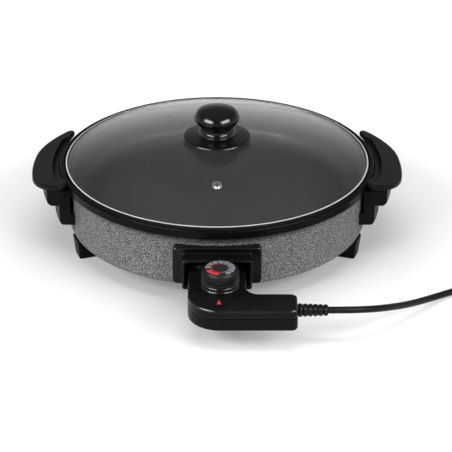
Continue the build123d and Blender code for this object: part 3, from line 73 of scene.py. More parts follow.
class NodeBoard:
    """A new material's node tree, with short ways to add the nodes that the finishes share."""

    def __init__(self, name: str) -> None:
        """Start a material with one principled shader.

        Args:
            name: The material's name.
        """
        self.material = bpy.data.materials.new(name)
        self.material.use_nodes = True
        self.tree = self.material.node_tree
        self.shader = self.tree.nodes["Principled BSDF"]
        self.output = self.tree.nodes["Material Output"]

    def add(self, kind: str, **settings: object) -> bpy.types.Node:
        """Add a node.

        Args:
            kind: The node's type.
            settings: Properties of the node, or defaults of its inputs under their own names.

        Returns:
            The new node.
        """
        node = self.tree.nodes.new(kind)
        for key, value in settings.items():
            label = key.replace("_", " ").title()
            if hasattr(node, key):
                setattr(node, key, value)
            else:
                node.inputs[label].default_value = value
        return node

    def link(self, source: bpy.types.NodeSocket, target: bpy.types.NodeSocket) -> None:
        """Join two sockets."""
        self.tree.links.new(source, target)

    def place(self) -> bpy.types.NodeSocket:
        """The piece's own coordinates."""
        return self.add("ShaderNodeTexCoord").outputs["Object"]

    def noise(self, scale: float, detail: float = 2.0, stretch: Point = (1, 1, 1)) -> bpy.types.NodeSocket:
        """A noise pattern on the piece's own coordinates.

        Args:
            scale: Features per metre.
            detail: Octaves of finer noise.
            stretch: How much the pattern is squeezed along each axis.

        Returns:
            The pattern's value socket.
        """
        mapping = self.add("ShaderNodeMapping")
        mapping.inputs["Scale"].default_value = stretch
        self.link(self.place(), mapping.inputs["Vector"])
        texture = self.add("ShaderNodeTexNoise", scale=scale, detail=detail)
        self.link(mapping.outputs["Vector"], texture.inputs["Vector"])
        return texture.outputs["Fac"]

    def ramp(self, value: bpy.types.NodeSocket, stops: list[tuple[float, Colour]]) -> bpy.types.NodeSocket:
        """Turn a value into a colour.

        Args:
            value: The socket that is read.
            stops: Positions along the ramp with their colours.

        Returns:
            The ramp's colour socket.
        """
        node = self.add("ShaderNodeValToRGB")
        elements = node.color_ramp.elements
        while len(elements) < len(stops):
            elements.new(0.5)
        for element, (position, colour) in zip(elements, stops):
            element.position = position
            element.color = (*colour, 1.0)
        self.link(value, node.inputs["Fac"])
        return node.outputs["Color"]

    def spread(self, value: bpy.types.NodeSocket, low: float, high: float) -> bpy.types.NodeSocket:
        """Stretch a pattern's middle range over low to high.

        Args:
            value: The socket that is read.
            low: The result where the pattern is low.
            high: The result where the pattern is high.

        Returns:
            The stretched value's socket.
        """
        node = self.add("ShaderNodeMapRange")
        node.inputs["From Min"].default_value, node.inputs["From Max"].default_value = NOISE_RANGE
        node.inputs["To Min"].default_value, node.inputs["To Max"].default_value = low, high
        self.link(value, node.inputs["Value"])
        return node.outputs["Result"]

    def between(self, share: bpy.types.NodeSocket, ends: Pair) -> bpy.types.NodeSocket:
        """Go from one number to another as a share grows from 0 to 1.

        Args:
            share: The socket that is read.
            ends: The results at 0 and at 1.

        Returns:
            The number's socket.
        """
        node = self.add("ShaderNodeMapRange")
        node.inputs["To Min"].default_value, node.inputs["To Max"].default_value = ends
        self.link(share, node.inputs["Value"])
        return node.outputs["Result"]

    def beyond(self, start: float, half: float) -> bpy.types.NodeSocket:
        """A soft step at a distance from the casserole's upright axis.

        Args:
            start: The distance where the step lies.
            half: Half the step's width.

        Returns:
            A socket that is 0 inside and 1 outside.
        """
        split = self.add("ShaderNodeSeparateXYZ")
        self.link(self.place(), split.inputs["Vector"])
        flat = self.add("ShaderNodeCombineXYZ")
        self.link(split.outputs["X"], flat.inputs["X"])
        self.link(split.outputs["Y"], flat.inputs["Y"])
        reach = self.add("ShaderNodeVectorMath", operation="LENGTH")
        self.link(flat.outputs["Vector"], reach.inputs[0])
        edge = self.add("ShaderNodeMapRange")
        edge.inputs["From Min"].default_value = start - half
        edge.inputs["From Max"].default_value = start + half
        self.link(reach.outputs["Value"], edge.inputs["Value"])
        return edge.outputs["Result"]

    def bump(self, height: bpy.types.NodeSocket, depth: float, strength: float = 1.0, edge: float = 0.0) -> None:
        """Raise the surface by a pattern.

        Args:
            height: The pattern's socket.
            depth: The relief in metres.
            strength: How fully the relief shows.
            edge: How far edges are softened, in metres.
        """
        node = self.add("ShaderNodeBump")
        node.inputs["Strength"].default_value = strength
        node.inputs["Distance"].default_value = depth
        self.link(height, node.inputs["Height"])
        if edge:
            soft = self.add("ShaderNodeBevel", samples=EDGE_SAMPLES)
            soft.inputs["Radius"].default_value = edge
            self.link(soft.outputs["Normal"], node.inputs["Normal"])
        self.link(node.outputs["Normal"], self.shader.inputs["Normal"])

    def polish_edges(self, plain: float, polished: float) -> None:
        """Make the edges between upright and level faces glossier.

        Args:
            plain: The specular level of the faces.
            polished: The specular level of the edges.
        """
        split = self.add("ShaderNodeSeparateXYZ")
        self.link(self.shader.inputs["Normal"].links[0].from_socket, split.inputs["Vector"])
        low, high = (plain,) * 3, (polished,) * 3
        level = self.ramp(split.outputs["Z"], [(0.12, low), (0.36, high), (0.8, high), (0.96, low)])
        self.link(level, self.shader.inputs["Specular IOR Level"])


@dataclass(frozen=True)
class Finish:
    """A finish that the pieces are dressed in."""

    name: str

    def make(self) -> bpy.types.Material:
        """Make the finish's material."""
        raise NotImplementedError


@dataclass(frozen=True)
class Moulded(Finish):
    """Moulded plastic with a fine grain and a slightly uneven gloss."""

    colour: Colour
    gloss: Pair
    grain: float = 2600.0
    grain_depth: float = 0.00003
    specular: float = 0.5
    coat: float = 0.0
    edge: float = 0.0
    edge_specular: float = 0.5

    def make(self) -> bpy.types.Material:
        """Make the moulded material."""
        board = NodeBoard(self.name)
        cloud = board.noise(45.0, 3.0)
        paler = tuple(1.25 * c + 0.001 for c in self.colour)
        board.link(board.ramp(cloud, [(0.35, self.colour), (0.7, paler)]), board.shader.inputs["Base Color"])
        board.link(board.spread(cloud, *self.gloss), board.shader.inputs["Roughness"])
        board.bump(board.noise(self.grain, 2.0), self.grain_depth, 0.5, self.edge)
        board.shader.inputs["Specular IOR Level"].default_value = self.specular
        if self.edge:
            board.polish_edges(self.specular, self.edge_specular)
        board.shader.inputs["Coat Weight"].default_value = self.coat
        board.shader.inputs["Coat Roughness"].default_value = 0.06
        return board.material


@dataclass(frozen=True)
class HammeredLacquer(Finish):
    """Grey lacquer with the flecks and dimples of a hammered coat, with painted shade darkening it under the rim.
    """

    dark: Colour = (0.022, 0.022, 0.023)
    middle: Colour = (0.11, 0.11, 0.114)
    light: Colour = (0.33, 0.33, 0.335)
    flecks: float = 880.0
    # Heights over which the painted rim shadow fades in, and the darkest tone it multiplies the colour by.
    rim_shade: Pair = (0.0752, 0.0826)
    rim_shadow_tone: float = 0.25
    gloss: Pair = (0.42, 0.58)

    def make(self) -> bpy.types.Material:
        """Make the hammered material."""
        board = NodeBoard(self.name)
        flecks = board.noise(self.flecks, 2.0)
        colour = board.ramp(flecks, [(0.36, self.dark), (0.5, self.middle), (0.64, self.light)])
        split = board.add("ShaderNodeSeparateXYZ")
        board.link(board.place(), split.inputs["Vector"])
        # Painted shade: the colour darkens towards the shell's top, standing in for the shadow the rim's overhang
        # casts.
        shade = board.add("ShaderNodeMapRange")
        shade.inputs["From Min"].default_value, shade.inputs["From Max"].default_value = self.rim_shade
        shade.inputs["To Min"].default_value = 1.0
        shade.inputs["To Max"].default_value = self.rim_shadow_tone
        board.link(split.outputs["Z"], shade.inputs["Value"])
        painted_rim_shadow = board.add("ShaderNodeMix", data_type="RGBA", blend_type="MULTIPLY")
        painted_rim_shadow.inputs["Factor"].default_value = 1.0
        board.link(colour, painted_rim_shadow.inputs[6])
        board.link(shade.outputs["Result"], painted_rim_shadow.inputs[7])
        board.link(painted_rim_shadow.outputs[2], board.shader.inputs["Base Color"])
        board.link(board.spread(board.noise(90.0, 3.0), *self.gloss), board.shader.inputs["Roughness"])
        board.bump(flecks, 0.0006, 0.55)
        board.shader.inputs["Specular IOR Level"].default_value = 0.4
        return board.material


@dataclass(frozen=True)
class PanCoat(Finish):
    """Dark grey non-stick coat inside the pan, turning to a black lip outside."""

    inside: Colour = (0.016, 0.0165, 0.0172)
    lip: Colour = (0.0022, 0.0022, 0.0024)
    lip_start: float = 0.1656
    roughness: Pair = (0.42, 0.2)
    specular: Pair = (0.3, 0.09)

    def make(self) -> bpy.types.Material:
        """Make the pan's coat."""
        board = NodeBoard(self.name)
        edge = board.beyond(self.lip_start, 0.0003)
        flecks = board.noise(900.0, 2.0)
        pale = tuple(1.5 * c for c in self.inside)
        coat = board.ramp(flecks, [(0.4, self.inside), (0.68, pale)])
        mix = board.add("ShaderNodeMix", data_type="RGBA")
        mix.inputs[7].default_value = (*self.lip, 1.0)
        board.link(edge, mix.inputs["Factor"])
        board.link(coat, mix.inputs[6])
        board.link(mix.outputs[2], board.shader.inputs["Base Color"])
        board.link(board.between(edge, self.roughness), board.shader.inputs["Roughness"])
        board.bump(flecks, 0.00005, 0.4)
        board.link(board.between(edge, self.specular), board.shader.inputs["Specular IOR Level"])
        return board.material


@dataclass(frozen=True)
class Metal(Finish):
    """Metal with fine draw lines or an uneven plate."""

    colour: Colour
    gloss: Pair
    lines: float = 1500.0
    stretch: Point = (1.0, 1.0, 8.0)

    def make(self) -> bpy.types.Material:
        """Make the metal."""
        board = NodeBoard(self.name)
        lines = board.noise(self.lines, 2.0, self.stretch)
        paler = tuple(min(1.0, 1.12 * c) for c in self.colour)
        board.link(board.ramp(lines, [(0.35, self.colour), (0.65, paler)]), board.shader.inputs["Base Color"])
        board.link(board.spread(lines, *self.gloss), board.shader.inputs["Roughness"])
        board.shader.inputs["Metallic"].default_value = 1.0
        board.bump(lines, 0.00002, 0.25)
        return board.material


@dataclass(frozen=True)
class RingSteel(Finish):
    """Steel lid ring, bright on its top bead; its outer wall and the flange under the glass are painted dark as
    shade.
    """

    bead: Colour = (0.78, 0.78, 0.785)
    side_shade: Colour = (0.03, 0.03, 0.031)
    middle: float = 0.1723
    half: float = 0.0012
    gloss: Pair = (0.28, 0.38)
    metallic: float = 0.5

    def make(self) -> bpy.types.Material:
        """Make the ring's steel."""
        board = NodeBoard(self.name)
        across = board.beyond(self.middle, self.half)
        # Painted shade: dark colour on the ring's inner flange and outer wall, standing in for the shade in the
        # gaps beside its bright top.
        stops = [(0.17, self.side_shade), (0.33, self.bead), (0.75, self.bead), (0.84, self.side_shade)]
        lines = board.noise(2200.0, 2.0, (1.0, 1.0, 8.0))
        board.link(board.ramp(across, stops), board.shader.inputs["Base Color"])
        board.link(board.spread(lines, *self.gloss), board.shader.inputs["Roughness"])
        board.shader.inputs["Metallic"].default_value = self.metallic
        board.bump(lines, 0.00002, 0.25)
        return board.material


@dataclass(frozen=True)
class ClearGlass(Finish):
    """Clear tempered glass that lets lamps through to what it covers."""

    tint: Colour = (0.97, 0.985, 0.98)
    shadow: Colour = (0.94, 0.95, 0.945)
    index: float = 1.48

    def make(self) -> bpy.types.Material:
        """Make the glass."""
        board = NodeBoard(self.name)
        board.shader.inputs["Base Color"].default_value = (*self.tint, 1.0)
        board.shader.inputs["Transmission Weight"].default_value = 1.0
        board.shader.inputs["IOR"].default_value = self.index
        board.shader.inputs["Roughness"].default_value = 0.0
        clear = board.add("ShaderNodeBsdfTransparent")
        clear.inputs["Color"].default_value = (*self.shadow, 1.0)
        rays = board.add("ShaderNodeLightPath")
        mix = board.add("ShaderNodeMixShader")
        board.link(rays.outputs["Is Shadow Ray"], mix.inputs["Fac"])
        board.link(board.shader.outputs["BSDF"], mix.inputs[1])
        board.link(clear.outputs["BSDF"], mix.inputs[2])
        board.link(mix.outputs["Shader"], board.output.inputs["Surface"])
        return board.material


@dataclass(frozen=True)
class Ink(Finish):
    """Printed ink, a little uneven."""

    colour: Colour

    def make(self) -> bpy.types.Material:
        """Make the ink."""
        board = NodeBoard(self.name)
        cloud = board.noise(1800.0, 2.0)
        darker = tuple(0.8 * c for c in self.colour)
        board.link(board.ramp(cloud, [(0.35, darker), (0.6, self.colour)]), board.shader.inputs["Base Color"])
        board.link(board.spread(cloud, 0.38, 0.5), board.shader.inputs["Roughness"])
        return board.material


SATIN = Moulded("satin_phenolic", (0.0033, 0.0033, 0.0036), (0.32, 0.42), 2200.0, 0.00004, 0.09)
GLOSS = Moulded("gloss_phenolic", (0.0026, 0.0026, 0.0028), (0.1, 0.15), 900.0, 0.000006, 0.5)
CASE = Moulded("case_moulding", (0.0032, 0.0032, 0.0035), (0.16, 0.23), 2600.0, 0.000015, 0.13, 0.0, 0.004, 1.0)
TRAY = Moulded("tray_moulding", (0.0032, 0.0032, 0.0035), (0.16, 0.23), 2600.0, 0.000015, 0.1)
DIAL = Moulded("dial_moulding", (0.0032, 0.0032, 0.0035), (0.36, 0.46), 2600.0, 0.000015, 0.4)
GUARD = Moulded("guard_phenolic", (0.0024, 0.0024, 0.0026), (0.18, 0.25), 2200.0, 0.000015, 0.22, 0.0, 0.0016, 0.8)
RUBBER = Moulded("cord_jacket", (0.004, 0.004, 0.0044), (0.32, 0.42), 1500.0, 0.00004, 0.2)
SILICONE = Moulded("silicone", (0.05, 0.05, 0.05), (0.6, 0.75))
CERAMIC = Moulded("ceramic", (0.72, 0.69, 0.62), (0.5, 0.7), 1200.0, 0.00006)
LENS = Moulded("red_lens", (0.4, 0.024, 0.032), (0.12, 0.2), 700.0, 0.000005, 0.5, 0.4)
WIRE = Moulded("wire_jacket", (0.22, 0.12, 0.04), (0.4, 0.55))
STEEL = Metal("plain_steel", (0.5, 0.5, 0.5), (0.28, 0.42))
BRIGHT = Metal("bright_steel", (0.86, 0.86, 0.865), (0.26, 0.36), 2200.0)
BRASS = Metal("contact_brass", (0.72, 0.52, 0.22), (0.25, 0.4))
NICKEL = Metal("plug_nickel", (0.7, 0.69, 0.66), (0.14, 0.26))
SHEATH = Metal("element_sheath", (0.17, 0.155, 0.14), (0.4, 0.6))
FACE_INKS = (
    Ink("dial_black", (0.012, 0.012, 0.013)),
    Ink("scale_white", (0.21, 0.205, 0.225)),
    Ink("off_red", (0.46, 0.026, 0.03)),
)
NUMBER_INK = Ink("number_black", (0.02, 0.02, 0.022))

NODE_FINISHES: dict[Finish, str] = {
    PanCoat("pan_coat"): "inner_pan",
    HammeredLacquer("hammered_lacquer"): "outer_shell",
    GUARD: "connector_guard",
    SATIN: "handle_right handle_left foot_back_right foot_back_left foot_front_left foot_front_right",
    GLOSS: "knob_base lid_knob",
    CASE: "case_upper",
    TRAY: "case_lower cord_grip dial_knob dial_face",
    RUBBER: "strain_relief cord_tail cord_lead cord_coil cord_tie plug_body",
    SILICONE: "knob_gasket",
    CERAMIC: "pin_beads contact_block",
    LENS: "pointer_lens",
    WIRE: "inner_wires",
    ClearGlass("lid_glass_clear"): "lid_glass",
    ClearGlass("lamp_glass_warm", (0.95, 0.75, 0.62)): "pilot_lamp",
    RingSteel("lid_ring_steel"): "lid_ring",
    BRIGHT: "vent_eyelet",
    STEEL: "base_plate heat_reflector tie_stud tie_nut element_clips connector_bracket probe_socket guard_screws"
    " handle_screws handle_nuts foot_screws foot_nuts case_screws cord_grip_screws bimetal_blade sensor_probe"
    " dial_shaft knob_screw knob_washer",
    BRASS: "power_pins earth_pin power_sleeves earth_sleeve live_strip contact_blade shaft_bush",
    NICKEL: "plug_pins plug_earth_clips",
    SHEATH: "heating_element",
}


class FinishStore:
    """Makes each finish's material once."""

    def __init__(self) -> None:
        """Start with no materials."""
        self.made: dict[Finish, bpy.types.Material] = {}

    def get(self, finish: Finish) -> bpy.types.Material:
        """The material of a finish, made at its first use."""
        if finish not in self.made:
            self.made[finish] = finish.make()
        return self.made[finish]

    def dress(self, piece: bpy.types.Object, *finishes: Finish) -> None:
        """Give a piece its materials.

        Args:
            piece: The object that is dressed.
            finishes: One finish for each material slot.
        """
        while piece.data.materials:
            piece.data.materials.pop()
        for finish in finishes:
            piece.data.materials.append(self.get(finish))

    def dress_solids(self) -> None:
        """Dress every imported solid."""
        for finish, names in NODE_FINISHES.items():
            for name in names.split():
                self.dress(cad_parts[name], finish)


@dataclass
class Turned:
    """A turned piece, drawn ring by ring up its own axis."""

    name: str
    rings: list[Ring]
    sides: int = 128

    def build(self) -> bpy.types.Object:
        """Draw the rings and close both ends.

        Returns:
            The piece, standing at the origin with its axis up.
        """
        bpy.ops.object.select_all(action="DESELECT")
        (radius, height), *rest = self.rings
        bpy.ops.mesh.primitive_circle_add(vertices=self.sides, radius=radius, location=(0, 0, height))
        piece = bpy.context.object
        piece.name = self.name
        piece.data.name = self.name
        bpy.ops.object.transform_apply(location=True, rotation=True, scale=True)
        bpy.context.tool_settings.mesh_select_mode = (True, False, False)
        bpy.ops.object.mode_set(mode="EDIT")
        bpy.ops.mesh.select_all(action="SELECT")
        for next_radius, next_height in rest:
            move = {"value": (0, 0, next_height - height)}
            bpy.ops.mesh.extrude_region_move(TRANSFORM_OT_translate=move)
            grow = next_radius / radius
            bpy.ops.transform.resize(value=(grow, grow, 1), center_override=(0, 0, next_height))
            radius, height = next_radius, next_height
        bpy.ops.mesh.edge_face_add()
        bpy.ops.mesh.select_all(action="DESELECT")
        bpy.ops.mesh.select_non_manifold()
        bpy.ops.mesh.edge_face_add()
        bpy.ops.mesh.select_all(action="SELECT")
        bpy.ops.mesh.normals_make_consistent(inside=False)
        bpy.ops.object.mode_set(mode="OBJECT")
        return piece


def select_faces(piece: bpy.types.Object, rule: Callable[[bpy.types.MeshPolygon], bool]) -> int:
    """Select a piece's faces in code.

    Args:
        piece: A mesh in object mode.
        rule: True for a face that is to be selected.

    Returns:
        How many faces are selected.
    """
    bpy.context.tool_settings.mesh_select_mode = (False, False, True)
    bpy.ops.object.mode_set(mode="EDIT")
    bpy.ops.mesh.select_all(action="DESELECT")
    bpy.ops.object.mode_set(mode="OBJECT")
    chosen = [face for face in piece.data.polygons if rule(face)]
    for face in chosen:
        face.select = True
    return len(chosen)


def settle(piece: bpy.types.Object, turn: Matrix, spot: Point, smooth: float = 34.0) -> None:
    """Put a finished mesh in its place, with its object at the origin.

    Args:
        piece: The object.
        turn: How the mesh is turned.
        spot: Where its own origin goes.
        smooth: The angle in degrees below which edges shade smooth.
    """
    piece.data.transform(Matrix.Translation(spot) @ turn)
    bpy.ops.object.select_all(action="DESELECT")
    piece.select_set(True)
    bpy.context.view_layer.objects.active = piece
    bpy.ops.object.shade_smooth_by_angle(angle=math.radians(smooth))


def face_angle(centre: Vector) -> float:
    """A point's angle round the vertical axis, from 0 to 360 degrees."""
    return math.degrees(math.atan2(centre.y, centre.x)) % 360


@dataclass
class DialKnob:
    """The thermostat's dial: a fluted rim round a printed face."""

    axis: Pair = (0.0033, -0.2165)
    low: float = 0.0573
    height: float = 0.0146
    radius: float = 0.0205
    top_radius: float = 0.0176
    barrel: float = 0.0102
    face_radius: float = 0.0163
    face_drop: float = 0.0010
    flutes: int = 48
    flute_depth: float = 0.0011
    flute_low: float = 0.003
    scale_in: float = 0.0107
    scale_out: float = 0.0158
    thin_in: float = 0.0092
    thin_out: float = 0.0099
    off_arc: Pair = (200.0, 263.0)
    scale_arc: Pair = (290.0, 540.0)
    steps: int = 9
    step_gap: float = 7.0
    print_size: float = 0.0038
    print_level: float = 0.00081
    print_depth: float = 0.00003

    def rim(self) -> bpy.types.Object:
        """Model the fluted rim.

        Returns:
            The rim in its place.
        """
        top = self.height
        rings = [
            (self.radius - 0.0008, 0.0),
            (self.radius - 0.0002, 0.0003),
            (self.radius, 0.0008),
            (self.radius, 0.0014),
            (self.radius - 0.0005, 0.0023),
            (self.radius - 0.0005, self.flute_low),
            (self.radius - 0.0003, self.barrel),
            (self.top_radius + 0.001, top - 0.0014),
            (self.top_radius, top - 0.0004),
            (self.top_radius - 0.0005, top),
            (self.face_radius + 0.0003, top),
            (self.face_radius, top - 0.0003),
            (self.face_radius, top - self.face_drop),
        ]
        piece = Turned("dial_rim", rings, sides=4 * self.flutes).build()
        band = (self.flute_low, top - 0.0014)

        def in_flute(face: bpy.types.MeshPolygon) -> bool:
            """True for the faces that every other flute takes."""
            place = int(face_angle(face.center) / (360 / (4 * self.flutes)))
            return len(face.vertices) == 4 and band[0] < face.center.z < band[1] and place % 4 < 2

        count = select_faces(piece, in_flute)
        bpy.ops.object.mode_set(mode="EDIT")
        bpy.ops.mesh.inset(thickness=0.0001, depth=-self.flute_depth)
        bpy.ops.object.mode_set(mode="OBJECT")
        log.info("dial rim: %d flute faces", count)
        settle(piece, Matrix.Identity(4), (*self.axis, self.low), 30.0)
        return piece

    def face(self) -> bpy.types.Object:
        """Model the printed face, with one material slot for each ink.

        Returns:
            The face in its place.
        """
        rings = [
            (self.face_radius - 0.0001, 0.0),
            (self.face_radius - 0.0001, 0.0006),
            (self.scale_out, 0.0008),
            (self.scale_in, 0.0008),
            (self.thin_out, 0.0008),
            (self.thin_in, 0.0008),
            (0.002, 0.0008),
        ]
        piece = Turned("dial_print", rings, sides=360).build()
        span = (self.scale_arc[1] - self.scale_arc[0]) / self.steps
        for face in piece.data.polygons:
            reach = face.center.xy.length
            angle = face_angle(face.center)
            on_scale = self.scale_in < reach < self.scale_out and face.normal.z > 0.9
            on_thin = self.thin_in < reach < self.thin_out and face.normal.z > 0.9
            past = (angle - self.scale_arc[0]) % 360
            if on_scale and self.off_arc[0] < angle < self.off_arc[1]:
                face.material_index = 2
            elif on_scale and past < self.scale_arc[1] - self.scale_arc[0]:
                face.material_index = 1 if past % span > self.step_gap else 0
            elif on_thin:
                face.material_index = 2 if 90 < angle < 270 else 1
        settle(piece, Matrix.Identity(4), (*self.axis, self.low + self.height - self.face_drop), 30.0)
        return piece

    def numbers(self) -> bpy.types.Object:
        """Model the plain step numbers on the scale.

        Returns:
            One piece with all the numbers.
        """
        span = (self.scale_arc[1] - self.scale_arc[0]) / self.steps
        middle = (self.scale_in + self.scale_out) / 2
        level = self.low + self.height - self.face_drop + self.print_level
        made = []
        for step in range(self.steps):
            angle = math.radians(self.scale_arc[0] + span * (step + 0.5) + self.step_gap / 2)
            bpy.ops.object.select_all(action="DESELECT")
            bpy.ops.object.text_add(location=(0, 0, 0))
            text = bpy.context.object
            text.data.body = str(self.steps - step)
            text.data.size = self.print_size
            text.data.extrude = self.print_depth
            text.data.align_x = "CENTER"
            text.data.align_y = "CENTER"
            bpy.ops.object.convert(target="MESH")
            text = bpy.context.object
            spot = (self.axis[0] + middle * math.cos(angle), self.axis[1] + middle * math.sin(angle), level)
            text.data.transform(Matrix.Translation(spot) @ Matrix.Rotation(angle + math.pi / 2, 4, "Z"))
            made.append(text)
        bpy.ops.object.select_all(action="DESELECT")
        for text in made:
            text.select_set(True)
        bpy.context.view_layer.objects.active = made[0]
        bpy.ops.object.join()
        made[0].name = "dial_numbers"
        return made[0]

    def build(self, store: FinishStore) -> None:
        """Make the dial's pieces and dress them."""
        rim = self.rim()
        store.dress(rim, DIAL)
        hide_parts("dial_knob")
        face = self.face()
        store.dress(face, *FACE_INKS)
        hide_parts("dial_face")
        numbers = self.numbers()
        store.dress(numbers, NUMBER_INK)
        for piece in (rim, face, numbers):
            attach(piece, Body.DIAL.value)
            log.info("%s: %d faces", piece.name, len(piece.data.polygons))


def swept(start: Ring, arcs: Arcs, lean: float = 0.0) -> list[Ring]:
    """Rings along a chain of arcs that curl inwards.

    Args:
        start: The ring that the chain follows.
        arcs: For each arc, how far its end leans back in degrees, and its radius.
        lean: How far the chain leans back at its start.

    Returns:
        The rings after the start.
    """
    rings = []
    reach, height = start
    for end, radius in arcs:
        steps = max(3, round((end - lean) / 2.5))
        for step in range(1, steps + 1):
            a, b = math.radians(lean), math.radians(lean + (end - lean) * step / steps)
            away = radius * (math.cos(a) - math.cos(b))
            rings.append((reach - away, height + radius * (math.sin(b) - math.sin(a))))
        reach, height = rings[-1]
        lean = end
    return rings


@dataclass
class LidKnob:
    """The lid's knob on its wide flat base."""

    base_low: float = 0.124
    base_radius: float = 0.039
    neck_low: float = 0.132
    neck_radius: float = 0.0193
    neck_height: float = 0.0065
    foot: float = 0.0003
    cap_radius: float = 0.0261
    cap_height: float = 0.0177
    bead_arcs: Arcs = ((24.0, 0.0008), (40.0, 0.006), (80.0, 0.0004))
    cap_arcs: Arcs = ((24.0, 0.0032), (38.0, 0.020), (72.0, 0.009))

    def knob(self) -> bpy.types.Object:
        """Model the knob's foot, neck and cap.

        Returns:
            The knob in its place.
        """
        neck = self.neck_radius - self.foot
        bead = self.neck_radius + 0.001
        rings = [(bead - 0.0006, 0.0), (bead - 0.0001, 0.0003), (bead, 0.0007)]
        rings += swept(rings[-1], self.bead_arcs)
        rings += [(neck, 0.0032), (neck, self.neck_height)]
        flare = self.cap_height - self.neck_height
        for step in range(1, 17):
            share = step / 16
            bulge = math.sin(share * math.pi / 2)
            rings.append((neck + (self.cap_radius - neck) * bulge, self.neck_height + flare * share))
        rings += swept(rings[-1], self.cap_arcs)
        lean = math.radians(self.cap_arcs[-1][0])
        rings += swept(rings[-1], ((89.0, rings[-1][0] / math.cos(lean)),), self.cap_arcs[-1][0])
        piece = Turned("knob_cap", rings, sides=160).build()
        settle(piece, Matrix.Identity(4), (0, 0, self.neck_low), 40.0)
        return piece

    def base(self) -> bpy.types.Object:
        """Model the flat base with its short neck.

        Returns:
            The base in its place.
        """
        rise = self.neck_low - self.base_low
        rings = [
            (self.base_radius - 0.0006, 0.0),
            (self.base_radius - 0.0001, 0.0003),
            (self.base_radius, 0.0006),
            (self.base_radius - 0.0003, 0.0012),
            (self.base_radius - 0.001, 0.0022),
            (self.base_radius - 0.0014, 0.0025),
            (self.base_radius - 0.0024, 0.0027),
            (0.0295, 0.0034),
            (0.0216, 0.0041),
            (self.neck_radius + 0.0007, 0.0045),
            (self.neck_radius + 0.0001, 0.0053),
            (self.neck_radius, rise - 0.0006),
            (self.neck_radius - 0.0006, rise),
        ]
        piece = Turned("knob_flange", rings, sides=160).build()
        settle(piece, Matrix.Identity(4), (0, 0, self.base_low), 50.0)
        return piece

    def build(self, store: FinishStore) -> None:
        """Make the knob's pieces and dress them."""
        for piece, node in ((self.knob(), "lid_knob"), (self.base(), "knob_base")):
            store.dress(piece, GLOSS)
            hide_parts(node)
            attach(piece, Body.LID.value)
            log.info("%s: %d faces", piece.name, len(piece.data.polygons))


@dataclass
class ReliefSleeve:
    """The cord's strain relief: a row of soft ribs that thins towards the cord."""

    start: float = 0.0841
    end: float = 0.116
    line: Pair = (-0.2545, 0.0424)
    radius: float = 0.0072
    tip_radius: float = 0.006
    bore: float = 0.0036
    groove: float = 0.0017
    ribs: int = 6
    rings_per_rib: int = 10

    def build(self, store: FinishStore) -> None:
        """Make the sleeve and dress it."""
        length = self.end - self.start
        count = self.ribs * self.rings_per_rib
        rings = [(self.bore, 0.0), (self.radius - self.groove, 0.0)]
        for step in range(1, count):
            share = step / count
            crest = math.sqrt(abs(math.sin(math.pi * self.ribs * share)))
            outer = self.radius + (self.tip_radius - self.radius) * share
            rings.append((outer - self.groove * (1 - crest), length * share))
        rings += [(self.tip_radius - self.groove, length), (self.bore, length)]
        sleeve = Turned("relief_sleeve", rings, sides=72).build()
        settle(sleeve, Matrix.Rotation(math.pi / 2, 4, "Y"), (self.start, *self.line), 50.0)
        store.dress(sleeve, RUBBER)
        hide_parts("strain_relief")
        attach(sleeve, Body.CONTROLLER.value)
        log.info("%s: %d faces", sleeve.name, len(sleeve.data.polygons))


